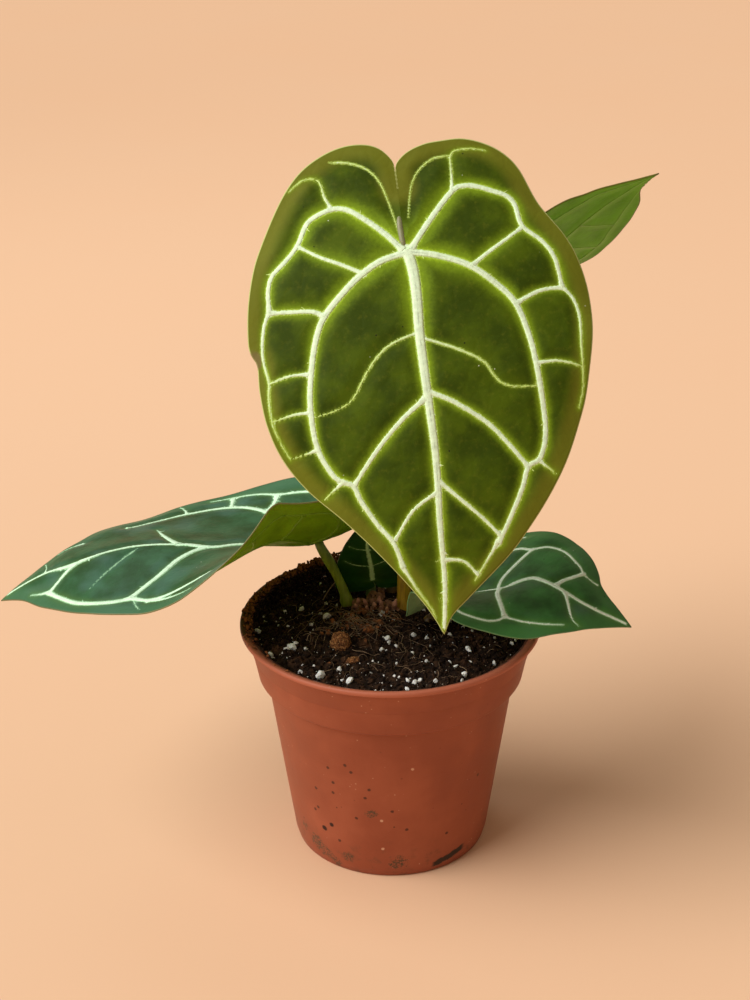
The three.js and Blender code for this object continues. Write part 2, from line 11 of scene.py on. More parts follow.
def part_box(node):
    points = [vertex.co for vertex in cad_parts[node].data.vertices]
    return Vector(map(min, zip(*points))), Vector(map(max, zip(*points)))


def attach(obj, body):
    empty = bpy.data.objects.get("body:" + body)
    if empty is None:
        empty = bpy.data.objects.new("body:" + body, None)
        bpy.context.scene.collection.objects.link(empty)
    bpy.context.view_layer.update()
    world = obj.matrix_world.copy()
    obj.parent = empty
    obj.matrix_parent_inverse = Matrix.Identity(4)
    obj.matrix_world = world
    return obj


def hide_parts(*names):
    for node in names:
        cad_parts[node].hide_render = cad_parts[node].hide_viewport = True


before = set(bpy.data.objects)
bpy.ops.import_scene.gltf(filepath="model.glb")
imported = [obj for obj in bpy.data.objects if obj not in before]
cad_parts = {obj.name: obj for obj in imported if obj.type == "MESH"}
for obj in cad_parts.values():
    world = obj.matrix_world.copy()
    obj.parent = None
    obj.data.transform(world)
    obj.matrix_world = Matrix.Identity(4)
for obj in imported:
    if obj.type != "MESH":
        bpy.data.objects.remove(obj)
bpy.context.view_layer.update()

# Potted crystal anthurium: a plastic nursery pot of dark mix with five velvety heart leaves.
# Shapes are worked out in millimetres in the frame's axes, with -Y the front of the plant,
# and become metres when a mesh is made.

bl_info = {
    "name": "Potted crystal anthurium",
    "version": (1, 0, 0),
    "blender": (4, 5, 0),
    "location": "View3D > Sidebar > Anthurium",
    "description": "Makes the pot, the mix, the stalks and the veined leaves of a crystal anthurium",
    "category": "Object",
}

MM = 0.001
POT_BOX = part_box("pot")


def shade(red, green, blue):
    """A colour as the shaders take it, from the 0 to 255 steps of a screen."""
    steps = [channel / 255 for channel in (red, green, blue)]
    return tuple(c / 12.92 if c <= 0.04045 else ((c + 0.055) / 1.055) ** 2.4 for c in steps)


def dimmed(colour, share):
    """A darker colour of the same hue."""
    return tuple(share * channel for channel in colour)


def colour_property(name, description, default):
    return FloatVectorProperty(
        name=name, description=description, subtype="COLOR", size=3, min=0, max=1, default=default
    )


def length_property(name, description, default):
    return FloatProperty(name=name, description=description, default=default, min=0, unit="LENGTH")


# Sizes and colours that a user may change


class PotSettings(bpy.types.PropertyGroup):
    """Sizes and colours of the nursery pot."""

    rim_radius: length_property("Rim radius", "Outer radius of the lip", POT_BOX[1].x)
    height: length_property("Height", "Height of the lip over the foot", POT_BOX[1].z)
    wall: length_property("Wall", "Thickness of the plastic", 1.6 * MM)
    sides: IntProperty(name="Sides", description="Facets round the pot", default=144, min=24)
    plastic: colour_property("Plastic", "Colour of the pot", shade(147, 73, 47))
    worn_plastic: colour_property("Worn plastic", "Paler, scuffed plastic", shade(166, 90, 62))
    algae: colour_property("Algae", "Grey-green smudges near the foot", shade(70, 62, 44))


class MixSettings(bpy.types.PropertyGroup):
    """Sizes and colours of the potting mix and what lies on it."""

    crumbs: IntProperty(name="Crumbs", description="Number of dark crumbs", default=6400, min=0)
    grains: IntProperty(name="Perlite", description="Number of small grains", default=420, min=0)
    fibres: IntProperty(name="Fibres", description="Number of fine root fibres", default=150, min=0)
    peat: colour_property("Peat", "Dark ground of the mix", shade(24, 14, 8))
    fibre: colour_property("Fibre", "Dry root fibres", shade(158, 130, 98))
    perlite: colour_property("Perlite grain", "White grains", shade(250, 247, 240))
    bark: colour_property("Bark", "Chunks of bark", shade(156, 104, 60))


class PlantSettings(bpy.types.PropertyGroup):
    """Sizes and colours of the leaves and stalks."""

    blade: length_property("Blade thickness", "Thickness in the middle of a blade", 0.8 * MM)
    quilting: length_property("Quilting", "Rise of the panels between veins", 0.7 * MM)
    ragged: length_property("Ragged edge", "How far the edges of veins wander", 0.33 * MM)
    vein: colour_property("Vein", "Pale raised veins", shade(228, 252, 216))
    glow: colour_property("Glow", "Lime tone beside young veins", shade(150, 186, 34))
    young_panel: colour_property("Young panel", "Velvety olive of a young blade", shade(74, 94, 6))
    old_panel: colour_property("Old panel", "Blue-green of a grown blade", shade(50, 96, 60))
    stalk: colour_property("Stalk", "Green of the petioles", shade(80, 114, 18))
    sheath: colour_property("Sheath", "Brown dry skin at a stalk's foot", shade(112, 76, 34))


class StageSettings(bpy.types.PropertyGroup):
    """The floor, the light and the camera."""

    floor: colour_property("Floor", "Pale warm floor", shade(234, 196, 162))
    sky: colour_property("Sky", "Light all round", shade(255, 228, 200))
    key: FloatProperty(name="Key light", description="Strength of the soft key", default=3.5, min=0)
    fill: FloatProperty(name="Fill", description="Strength of the light all round", default=0.29, min=0)
    lens: FloatProperty(name="Lens", description="Focal length", default=65 * MM, unit="CAMERA")


# Node trees


class Graph:
    """Adds nodes to a node tree and feeds their inputs by name."""

    def __init__(self, tree):
        self.tree = tree

    def add(self, kind, feeds=None, **settings):
        """A new node with its settings and the values or links of its inputs."""
        node = self.tree.nodes.new(kind)
        for name, value in settings.items():
            setattr(node, name, value)
        for name, value in (feeds or {}).items():
            self.feed(node, name, value)
        return node

    def pick(self, sockets, name=None):
        """The socket of that name which is in use, or the first one."""
        for socket in sockets:
            if socket.enabled and name in (None, socket.name):
                return socket
        raise KeyError(f"no socket named {name}")

    def out(self, node, name=None):
        return self.pick(node.outputs, name)

    def feed(self, node, name, value):
        """Links an input to a node or socket, or gives it a value."""
        socket = node.inputs[name] if isinstance(name, int) else self.pick(node.inputs, name)
        if isinstance(value, bpy.types.Node):
            value = self.pick(value.outputs)
        if isinstance(value, bpy.types.NodeSocket):
            self.tree.links.new(value, socket)
        elif socket.type == "RGBA" and len(value) == 3:
            socket.default_value = (*value, 1)
        else:
            socket.default_value = value

    def math(self, operation, a, b=0.0, c=None):
        node = self.add("ShaderNodeMath", {0: a, 1: b}, operation=operation)
        if c is not None:
            self.feed(node, 2, c)
        return node

    def times(self, a, b):
        return self.math("MULTIPLY", a, b)

    def smooth_range(self, value, low, high, start=0.0, end=1.0):
        """Runs softly from start to end while a value passes from low to high."""
        feeds = {"Value": value, "From Min": low, "From Max": high, "To Min": start, "To Max": end}
        return self.add("ShaderNodeMapRange", feeds, interpolation_type="SMOOTHSTEP")

    def axis(self, vector, name):
        return self.add("ShaderNodeSeparateXYZ", {"Vector": vector}).outputs[name]


class Finish(Graph):
    """A material under construction, on places in millimetres, with the tone that it has so far."""

    def __init__(self, name, along_surface=False):
        self.material = bpy.data.materials.new(name)
        self.material.use_nodes = True
        super().__init__(self.material.node_tree)
        self.tree.nodes.clear()
        if along_surface:
            self.place = self.field("flat_place", "Vector")
        else:
            feeds = {0: self.add("ShaderNodeTexCoord").outputs["Object"], "Scale": 1 / MM}
            self.place = self.out(self.add("ShaderNodeVectorMath", feeds, operation="SCALE"))

    def field(self, name, output="Fac"):
        """Values that the mesh keeps under a name."""
        return self.add("ShaderNodeAttribute", attribute_name=name).outputs[output]

    def noise(self, size, detail=3.0, roughness=0.55, place=None):
        """Soft noise from 0 to 1 whose features are size millimetres across."""
        feeds = {"Vector": place or self.place, "Scale": 1 / size, "Detail": detail,
                 "Roughness": roughness}
        return self.add("ShaderNodeTexNoise", feeds).outputs["Fac"]

    def cells(self, size, feature="F1"):
        """Distances in a pattern of cells about size millimetres across."""
        feeds = {"Vector": self.place, "Scale": 1 / size}
        return self.add("ShaderNodeTexVoronoi", feeds, feature=feature).outputs["Distance"]

    def stretched(self, z):
        """Places that vary less along the height."""
        return self.out(self.add("ShaderNodeMapping", {"Vector": self.place, "Scale": (1, 1, z)}))

    def height(self):
        return self.axis(self.place, "Z")

    def blend(self, share, a, b):
        node = self.add("ShaderNodeMix", data_type="RGBA", blend_type="MIX")
        for name, value in (("Factor", share), ("A", a), ("B", b)):
            self.feed(node, name, value)
        return self.out(node, "Result")

    def ground(self, tone, other, share, low, high):
        """Starts with two tones, the other one where share passes from low to high."""
        self.tone = self.blend(self.smooth_range(share, low, high), tone, other)

    def over(self, share, colour, strength=None):
        """Lays a colour over the tone where share says, at most as much as strength says."""
        if strength is not None:
            share = self.times(share, strength)
        self.tone = self.blend(share, self.tone, colour)

    def ball(self, centre, radius, wobble):
        """1 near a place, fading to 0 at radius, with a wandering edge."""
        away = self.add("ShaderNodeVectorMath", {0: self.place, 1: centre}, operation="DISTANCE")
        reach = wobble * radius
        drift = self.math("MULTIPLY_ADD", self.noise(radius * 0.45), reach, -reach / 2)
        distance = self.math("ADD", away.outputs["Value"], drift)
        return self.smooth_range(distance, radius * 0.55, radius, 1.0, 0.0)

    def specks(self, spacing, edge, core, patches, low, high):
        """Dots that shrink from edge to core, only where a soft noise passes from low to high."""
        dots = self.smooth_range(self.cells(spacing), edge, core)
        return self.times(dots, self.smooth_range(self.noise(*patches), low, high))

    def bump(self, height, depth, strength=1.0, under=None):
        feeds = {"Height": height, "Distance": depth * MM, "Strength": strength}
        if under:
            feeds["Normal"] = under
        return self.out(self.add("ShaderNodeBump", feeds))

    def surface(self, rough, relief, **feeds):
        """Closes the material with a principled shader."""
        feeds.update(base_color=self.tone, roughness=rough)
        if relief:
            feeds["normal"] = relief
        named = {name.replace("_", " ").title().replace("Ior", "IOR"): feeds[name] for name in feeds}
        self.add("ShaderNodeOutputMaterial", {"Surface": self.add("ShaderNodeBsdfPrincipled", named)})
        return self.material


class Recipe(Graph):
    """A Geometry Nodes tree under construction, with named inputs."""

    def __init__(self, name, **inputs):
        self.group = bpy.data.node_groups.new(name, "GeometryNodeTree")
        super().__init__(self.group)
        interface = self.group.interface
        interface.new_socket("Geometry", in_out="INPUT", socket_type="NodeSocketGeometry")
        interface.new_socket("Geometry", in_out="OUTPUT", socket_type="NodeSocketGeometry")
        for name, kind in inputs.items():
            label = name.replace("_", " ")
            interface.new_socket(label, in_out="INPUT", socket_type=f"NodeSocket{kind}")
        self.entry = self.add("NodeGroupInput")

    def given(self, name):
        """An input of the tree."""
        return self.entry.outputs[name]

    def attribute(self, name, kind="FLOAT"):
        """Values that the seed mesh keeps under a name."""
        return self.out(self.add("GeometryNodeInputNamedAttribute", {"Name": name}, data_type=kind))

    def wander(self, size, reach):
        """A random offset up to reach, with features of a size, as a vector."""
        cloud = self.add("ShaderNodeTexNoise", {"Scale": self.math("DIVIDE", 1.0, size), "Detail": 2.0})
        feeds = {0: cloud.outputs["Color"], 1: (0.5, 0.5, 0.5)}
        centred = self.add("ShaderNodeVectorMath", feeds, operation="SUBTRACT")
        feeds = {0: centred, "Scale": self.times(reach, 2.0)}
        return self.out(self.add("ShaderNodeVectorMath", feeds, operation="SCALE"))

    def circle(self):
        """A round profile with as many sides as the input says."""
        feeds = {"Resolution": self.given("Sides"), "Radius": 1.0}
        return self.out(self.add("GeometryNodeCurvePrimitiveCircle", feeds), "Curve")

    def swept(self, curve, profile, size, reach):
        """A profile run along a curve as thick as its points say, with a wandering surface."""
        feeds = {"Curve": curve, "Profile Curve": profile, "Scale": self.attribute("thickness"),
                 "Fill Caps": True}
        tube = self.add("GeometryNodeCurveToMesh", feeds)
        feeds = {"Geometry": tube, "Offset": self.wander(size, reach)}
        return self.close(self.add("GeometryNodeSetPosition", feeds))

    def close(self, geometry, smooth=True):
        """Ends the tree with real geometry and its material."""
        real = self.add("GeometryNodeRealizeInstances", {"Geometry": geometry})
        shaded = self.add("GeometryNodeSetShadeSmooth", {"Geometry": real, "Shade Smooth": smooth})
        feeds = {"Geometry": shaded, "Material": self.given("Material")}
        dressed = self.add("GeometryNodeSetMaterial", feeds)
        self.add("NodeGroupOutput", {"Geometry": dressed})
        return self.group


# Meshes

PATH_STEPS = 24


def smooth_path(points, spacing):
    """Places at even spacing on the curve through some points, and their share of its length."""
    points = np.array(points, float)
    padded = np.vstack([points[:1], points, points[-1:]])
    rows = []
    for i in range(len(points) - 1):
        p0, p1, p2, p3 = padded[i:i + 4]
        for t in np.linspace(0, 1, PATH_STEPS, endpoint=False):
            rows.append(0.5 * (2 * p1 + (p2 - p0) * t + (2 * p0 - 5 * p1 + 4 * p2 - p3) * t ** 2
                               + (3 * p1 - p0 - 3 * p2 + p3) * t ** 3))
    rows.append(points[-1])
    rows = np.array(rows)
    run = np.concatenate([[0], np.cumsum(np.linalg.norm(np.diff(rows, axis=0), axis=1))])
    count = max(2, int(round(run[-1] / spacing)) + 1)
    wanted = np.linspace(0, run[-1], count)
    places = np.stack([np.interp(wanted, run, rows[:, k]) for k in range(rows.shape[1])], axis=1)
    return places, wanted / run[-1]


def add_object(name, data):
    """An object in the scene for a mesh, a lamp or a camera."""
    piece = bpy.data.objects.new(name, data)
    bpy.context.scene.collection.objects.link(piece)
    return piece


def mesh_from(name, points, faces, edges=()):
    """A smooth mesh of points in millimetres."""
    mesh = bpy.data.meshes.new(name)
    mesh.from_pydata((np.asarray(points, float) * MM).tolist(), list(edges), faces)
    mesh.polygons.foreach_set("use_smooth", [True] * len(mesh.polygons))
    return mesh


def store(mesh, name, values):
    """Keeps one number or one vector for each vertex."""
    values = np.asarray(values, np.float32)
    kind = "FLOAT" if values.ndim == 1 else "FLOAT_VECTOR"
    attribute = mesh.attributes.new(name, kind, "POINT")
    attribute.data.foreach_set("value" if values.ndim == 1 else "vector", values.ravel())


def chain_mesh(name, chains):
    """Open chains of vertices for a recipe: each chain is a dict of points and of point values."""
    points = np.vstack([chain["points"] for chain in chains])
    edges = []
    start = 0
    for chain in chains:
        count = len(chain["points"])
        edges += [(start + i, start + i + 1) for i in range(count - 1)]
        start += count
    mesh = mesh_from(name, points, [], edges)
    for key in chains[0]:
        if key != "points":
            store(mesh, key, np.concatenate([chain[key] for chain in chains]))
    return mesh


def grow(name, seed_mesh, group, **values):
    """Runs a Geometry Nodes tree on a mesh and keeps the plain mesh that it gives."""
    base = add_object(f"{name}_base", seed_mesh)
    modifier = base.modifiers.new("Grow", "NODES")
    modifier.node_group = group
    wanted = {label.replace("_", " "): value for label, value in values.items()}
    for item in group.interface.items_tree:
        if item.in_out == "INPUT" and item.name in wanted:
            modifier[item.identifier] = wanted.pop(item.name)
    if wanted:
        raise KeyError(f"{group.name} has no input named {sorted(wanted)}")
    depsgraph = bpy.context.evaluated_depsgraph_get()
    mesh = bpy.data.meshes.new_from_object(
        base.evaluated_get(depsgraph), preserve_all_data_layers=True, depsgraph=depsgraph
    )
    bpy.data.objects.remove(base)
    if not mesh.polygons:
        raise RuntimeError(f"{name} came out empty")
    mesh.name = name
    return add_object(name, mesh)


def hand_over(piece, slot, *nodes):
    """Hangs a finished piece under the root body and hides the CAD nodes that it stands for; slot is not
    used.
    """
    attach(piece, "root")
    if nodes:
        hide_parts(*nodes)


def joined(name, pieces):
    """One object from several."""
    mesh = bmesh.new()
    for piece in pieces:
        mesh.from_mesh(piece.data)
    data = bpy.data.meshes.new(name)
    mesh.to_mesh(data)
    mesh.free()
    for material in pieces[0].data.materials:
        data.materials.append(material)
    for piece in pieces:
        bpy.data.objects.remove(piece)
    return add_object(name, data)


def ease(x):
    """Runs softly from 0 to 1 and stays there."""
    x = np.clip(x, 0, 1)
    return x * x * (3 - 2 * x)


def lerp(a, b, t):
    return a + (b - a) * t


def unit(vectors):
    return vectors / np.linalg.norm(vectors, axis=-1, keepdims=True)


# Pot


def pot_profile(pot):
    """Outer and inner line of the wall, as radius and height, from the foot ring to the floor."""
    rim = pot.rim_radius / MM
    top = pot.height / MM
    wall = pot.wall / MM
    outside = [
        (35.5, 0.0), (38.4, 0.0), (39.0, 0.5), (40.0, 4.0), (49.6, 72.0), (50.2, 73.2), (52.6, 74.3),
        (53.3, 75.4), (rim - 4.9, 84.6), (rim - 4.9, 85.2), (rim - 4.55, 85.6), (rim - 2.8, top - 3.2),
        (rim - 2.5, top - 2.7), (rim - 1.8, top - 2.4), (rim - 0.5, top - 2.1), (rim, top - 1.6),
        (rim, top - 0.7), (rim - 0.25, top - 0.2), (rim - 0.8, top), (rim - 1.6, top - 0.1),
    ]
    inside = [
        (rim - 2.9 - wall, top - 1.4), (rim - 3.1 - wall, top - 3.0), (53.2 - wall, 74.5),
        (49.8 - wall, 72.4), (40.0 - wall, 4.8), (38.8 - wall, 3.9), (0.0, 3.8),
    ]
    under = [(0.0, 0.0), (12.0, 0.0), (12.8, 1.6), (34.7, 1.6)]
    return under + outside + inside


def level_ring(radius, sides, height_at):
    """Places on a circle round the axis, each at the height that height_at gives for x and y."""
    angles = [i / sides * math.tau for i in range(sides)]
    flat = [(radius * math.cos(angle), radius * math.sin(angle)) for angle in angles]
    return [(x, y, height_at(x, y)) for x, y in flat]


def ringed_mesh(name, start, rings, end):
    """A closed mesh of rings of equal count between two places on the axis."""
    points = [start, *(place for ring in rings for place in ring), end]
    sides = len(rings[0])
    last_ring = len(points) - 1 - sides
    faces = []
    for i in range(sides):
        j = (i + 1) % sides
        faces.append((0, 1 + j, 1 + i))
        for a in range(1, last_ring, sides):
            faces.append((a + i, a + j, a + sides + j, a + sides + i))
        faces.append((len(points) - 1, last_ring + i, last_ring + j))
    return mesh_from(name, points, faces)


def turned_mesh(name, profile, sides):
    """A closed lathe of a profile that starts and ends on the axis."""
    rings = [level_ring(radius, sides, lambda x, y: height) for radius, height in profile[1:-1]]
    return ringed_mesh(name, (0, 0, profile[0][1]), rings, (0, 0, profile[-1][1]))


DRAIN_HOLES = 8
DRAIN_CIRCLE = 24
DRAIN_RADIUS = 3.2
DRILL_SIDES = 24
DRILL_DEPTH = 20


def drill_drain_holes(piece):
    """Cuts the ring of holes through the floor of the pot."""
    drills = bmesh.new()
    radius = DRAIN_RADIUS * MM
    for i in range(DRAIN_HOLES):
        angle = i / DRAIN_HOLES * math.tau
        made = bmesh.ops.create_cone(drills, cap_ends=True, segments=DRILL_SIDES, radius1=radius,
                                     radius2=radius, depth=DRILL_DEPTH * MM)
        place = Vector((math.cos(angle), math.sin(angle), 0)) * DRAIN_CIRCLE * MM
        bmesh.ops.translate(drills, verts=made["verts"], vec=place)
    mesh = bpy.data.meshes.new("drills")
    drills.to_mesh(mesh)
    drills.free()
    cutter = add_object("drills", mesh)
    cut = piece.modifiers.new("Drain holes", "BOOLEAN")
    cut.object = cutter
    cut.solver = "EXACT"
    depsgraph = bpy.context.evaluated_depsgraph_get()
    piece.data = bpy.data.meshes.new_from_object(piece.evaluated_get(depsgraph), depsgraph=depsgraph)
    piece.modifiers.clear()
    bpy.data.objects.remove(cutter)


# Marks on the pot's side: place, radius, and how far the edge wanders
ALGAE_MARKS = [
    ((-30, -27, 9), 4.6, 1.5), ((-27, -31, 6), 4.0, 1.5), ((-34, -21, 13), 2.8, 1.6),
    ((-23, -34, 3), 3.4, 1.5), ((2.8, -40.4, 7.5), 4.6, 1.5), ((-18, -37, 8), 3.0, 1.6),
    ((-8, -43, 33), 2.6, 1.8),
]
SLITS = [((-26.9, -32.4, 18.9), 1.6, 0.5), ((-24, -35.2, 22.3), 1.3, 0.5)]
SPLASHES = [
    (-25, -39.6, 51.9), (-23, -39.6, 45.1), (-23.1, -38.7, 39.8), (0.1, -44.3, 34.5), (5.8, -42.6, 24.8),
    (21.9, -35.9, 18.5), (-18.2, -43.6, 55.5), (-15.9, -44.1, 52.6), (-29.9, -33.4, 38.6),
    (-29.3, -32.2, 28.8), (-30.5, -30.6, 26.8), (34.3, -29.7, 41.8), (-20.9, -36, 15.3),
    (-14, -41.3, 29.5), (-10.5, -44, 40.6), (-8.9, -44.9, 45),
]
PALE_FLECKS = [(-3.6, -41.4, 14.9), (-4.1, -43.4, 29.6), (8, -46.6, 55.4)]
# The groove along the foot, painted near black as painted shade: its angles, its height at the left end
# and its rise to the right
SHADED_GROOVE_ANGLES = (-1.14, -0.77)
SHADED_GROOVE_HEIGHT = 3.6
SHADED_GROOVE_RISE = 9.0
SHADED_GROOVE_HALF = 1.7
# The inside of the rim lies under this line of radius against height
WALL_LEAN = 0.207
WALL_LINE = 36.8


def plastic_material(pot):
    """Matte terracotta coloured plastic with scuffs, splashes of soil and algae at the foot, painted
    shade in the groove at the foot, and soil dirt with painted shade inside the rim.
    """
    make = Finish("pot_plastic")
    x, y, height = (make.axis(make.place, name) for name in "XYZ")
    broad = make.noise(28, 4)
    flow = make.noise(5, 3, place=make.stretched(0.12))
    make.ground(pot.plastic, pot.worn_plastic, broad, 0.35, 0.7)
    make.over(flow, dimmed(pot.plastic, 0.8), 0.3)
    make.over(make.smooth_range(height, 94.0, 94.8, 0.0, 0.6), shade(190, 112, 86))
    splash = make.specks(3.4, 0.16, 0.09, (8, 2), 0.53, 0.62)
    make.over(make.times(splash, make.smooth_range(height, 66, 26, 0.25, 1.0)), shade(64, 32, 20), 0.8)
    make.over(make.specks(3.1, 0.12, 0.06, (14, 1), 0.52, 0.58), shade(206, 160, 128), 0.6)
    film = make.smooth_range(make.noise(5, 5, 0.7), 0.5, 0.7)
    make.over(make.times(make.smooth_range(height, 26, 0), film), pot.algae, 0.45)
    speckle = make.smooth_range(make.noise(0.9, 3, 0.7), 0.42, 0.56)
    for mark in ALGAE_MARKS:
        make.over(make.times(make.ball(*mark), speckle), pot.algae, 0.9)
    for place in SPLASHES:
        make.over(make.ball(place, 0.9, 0.9), shade(52, 26, 18), 0.8)
    for place in PALE_FLECKS:
        make.over(make.ball(place, 0.8, 0.8), shade(214, 170, 140), 0.8)
    for mark in SLITS:
        make.over(make.ball(*mark), shade(46, 16, 12))
    angle = make.math("ARCTAN2", y, x)
    start, end = SHADED_GROOVE_ANGLES
    within = make.times(make.smooth_range(angle, start - 0.03, start + 0.02),
                        make.smooth_range(angle, end + 0.03, end - 0.04))
    middle = make.math("MULTIPLY_ADD", angle, SHADED_GROOVE_RISE, SHADED_GROOVE_HEIGHT - SHADED_GROOVE_RISE * start)
    off = make.math("ABSOLUTE", make.math("SUBTRACT", height, middle))
    off = make.math("MULTIPLY_ADD", make.noise(1.8, 4, 0.7), 3.0, off)
    groove = make.smooth_range(off, SHADED_GROOVE_HALF + 1.6, SHADED_GROOVE_HALF + 0.9)
    # Painted shade: the groove along the foot is painted near black, as the shade in it looks
    make.over(make.times(within, groove), shade(34, 30, 20), 0.95)
    # The inside of the rim over the mix is darkened: soil dirt, and painted shade of the deep inside of
    # the pot
    radius = make.math("SQRT", make.math("ADD", make.times(x, x), make.times(y, y)))
    lean = make.math("MULTIPLY_ADD", height, -WALL_LEAN, radius)
    inner = make.times(make.smooth_range(lean, WALL_LINE, WALL_LINE - 0.3),
                       make.smooth_range(height, 74.7, 75.2))
    make.over(make.times(inner, make.smooth_range(make.noise(2.4, 5, 0.7), 0.3, 0.7, 0.5, 1.0)),
              shade(34, 20, 13))
    back = make.math("ADD", make.times(x, -0.011), make.times(y, 0.013))
    dirt = make.smooth_range(make.math("ADD", back, make.noise(1.6, 5, 0.75)), 0.78, 1.0)
    make.over(make.times(dirt, make.smooth_range(height, 94.2, 95.4)), shade(58, 34, 22), 0.9)
    relief = make.bump(broad, 1.2, 0.25, under=make.bump(make.noise(0.7, 2), 0.12, 0.35))
    return make.surface(make.smooth_range(broad, 0.3, 0.7, 0.44, 0.6), relief, specular_ior_level=0.3)


# Potting mix

SOIL_FRONT = 94.4
SOIL_BACK = 91.2
MOUND = (-12, 4)
MOUND_HEIGHT = 3.4
MOUND_RADIUS = 26
LEVEL_RUN = 60
# Near the wall the mix falls by EDGE_FALL from EDGE_START on
EDGE_FALL = 1.2
EDGE_START = 44
EDGE_RUN = 12
SOIL_TOP_RADIUS = 55.0
SOIL_WALL = [(51.2, 74.8), (47.8, 73.0), (38.0, 5.1), (37.0, 4.2)]
SOIL_RINGS = 84
SOIL_SPOKES = 200


def soil_height(x, y):
    """The height of the mix's top, alike to the CAD solid's."""
    level = lerp(SOIL_FRONT, SOIL_BACK, ease((y + LEVEL_RUN) / (2 * LEVEL_RUN)))
    away = np.hypot(x - MOUND[0], y - MOUND[1]) / MOUND_RADIUS
    lumps = 0.5 * np.sin(x * 0.31 + 1) * np.cos(y * 0.27) + 0.35 * np.sin(x * 0.7 + y * 0.55)
    fall = EDGE_FALL * ease((np.hypot(x, y) - EDGE_START) / EDGE_RUN)
    return level + MOUND_HEIGHT * np.exp(-away * away) + lumps - fall


def roughened(x, y):
    """Small crumbly ups and downs of the mix."""
    coarse = noise.fractal(Vector((x * 0.35, y * 0.35, 3)), 0.6, 2.2, 4)
    fine = noise.noise(Vector((x * 1.6, y * 1.6, 9)))
    return 0.75 * coarse + 0.35 * fine


def on_mix(x, y, lift=0.0):
    """A place on the mix or some way over it."""
    return (x, y, float(soil_height(x, y)) + roughened(x, y) + lift)


def mix_mesh():
    """The body of the mix: a crumbly top and plain sides that follow the inside of the pot."""
    rings = [level_ring(SOIL_TOP_RADIUS * k / SOIL_RINGS, SOIL_SPOKES, lambda x, y: on_mix(x, y)[2])
             for k in range(1, SOIL_RINGS + 1)]
    rings += [level_ring(radius, SOIL_SPOKES, lambda x, y: height) for radius, height in SOIL_WALL]
    return ringed_mesh("mix", (0, 0, soil_height(0, 0)), rings, (0, 0, SOIL_WALL[-1][1]))


def scatter_recipe():
    """Lumps of random size and turn on every vertex of a mesh."""
    make = Recipe("Scattered lumps", Smallest="Float", Largest="Float", Flatness="Float",
                  Roughness="Float", Detail="Int", Seed="Int", Material="Material")

    def chance(low, high, shift, kind="FLOAT"):
        feeds = {"Min": low, "Max": high, "Seed": make.math("ADD", make.given("Seed"), shift)}
        return make.add("FunctionNodeRandomValue", feeds, data_type=kind)

    lump = make.add("GeometryNodeMeshIcoSphere", {"Radius": 1.0, "Subdivisions": make.given("Detail")})
    size = make.times(chance(make.given("Smallest"), make.given("Largest"), 0.0), make.attribute("size"))
    turn = chance((0, 0, 0), (6.3, 6.3, 6.3), 1.0, "FLOAT_VECTOR")
    form = chance(make.given("Flatness"), 1.3, 2.0)
    squashed = make.add("ShaderNodeCombineXYZ", {"X": 1.0, "Y": form, "Z": make.given("Flatness")})
    scale = make.add("ShaderNodeVectorMath", {0: squashed, "Scale": size}, operation="SCALE")
    rotation = make.add("FunctionNodeEulerToRotation", {"Euler": turn})
    feeds = {"Points": make.given("Geometry"), "Instance": make.out(lump, "Mesh"),
             "Rotation": rotation, "Scale": scale}
    placed = make.add("GeometryNodeInstanceOnPoints", feeds)
    real = make.add("GeometryNodeRealizeInstances", {"Geometry": placed})
    offset = make.wander(make.times(make.given("Largest"), 0.9), make.given("Roughness"))
    rough = make.add("GeometryNodeSetPosition", {"Geometry": real, "Offset": offset})
    return make.close(rough, smooth=False)


def tube_recipe():
    """A round tube along every chain of vertices, as thick as the point's thickness says."""
    make = Recipe("Tubes", Sides="Int", Lumps="Float", Lump_Size="Float", Material="Material")
    curve = make.add("GeometryNodeMeshToCurve", {"Mesh": make.given("Geometry")})
    return make.swept(curve, make.circle(), make.given("Lump Size"), make.given("Lumps"))


def points_mesh(name, places, sizes):
    """Loose vertices for the recipe of lumps, each with its size."""
    mesh = mesh_from(name, places, [])
    store(mesh, "size", sizes)
    return mesh


# Perlite grains that the front of the pot shows: place on the mix and radius
PERLITE = [
    (-46.9, -24, 2.0), (-40.6, -22.8, 1.5), (-38.6, -20.2, 1.8), (-36.9, -18.9, 1.2),
    (-26.9, -42.2, 1.9), (-19.8, -37.9, 1.5), (-15.9, -46.8, 1.5), (-3.5, -22.7, 1.2),
    (-1.5, -15.3, 1.3), (6, -46.9, 1.3), (8.6, -47.2, 1.7), (10.6, -46, 1.2), (8.2, -25.7, 1.1),
    (16.6, -45.7, 1.0), (27.3, -42, 1.6), (30.1, -21.2, 1.7), (23.4, -9.8, 1.1), (39.6, -31.3, 1.4),
    (48.3, -11.1, 1.6), (47.5, -16, 0.9), (-53.2, -2.9, 1.7), (-28.1, 47.6, 2.2), (-25.5, 2.2, 1.7),
    (-36, 12, 1.3), (-42, 11, 1.4), (9, -12, 0.9), (-8, -40, 0.8), (2, -34, 0.9),
]


def turned_place(angle, radius):
    return radius * math.cos(angle), radius * math.sin(angle)


def scatter_places(draw, count, reach):
    """Random places on the mix, out to a radius."""
    drawn = [(draw.uniform(0, math.tau), draw.random()) for _ in range(count)]
    return [turned_place(angle, reach * math.sqrt(share)) for angle, share in drawn]


# Height of the crust that was left on the lip at the back, and its angle and spread round the pot
LIP_HEAP = 2.6
HEAP_ANGLE = 1.98
HEAP_SPREAD = 0.3
# Crumbs that stick to the inside of the rim: the angles and heights that they cover
STUCK_ANGLES = (1.1, 3.7)
STUCK_HEIGHTS = (90.5, 96.6)
RIM_INSIDE = 54.3
RIM_LEAN = 0.2
LIP_HEIGHT = 96.9
LIP_RADII = (55.6, 59.0)
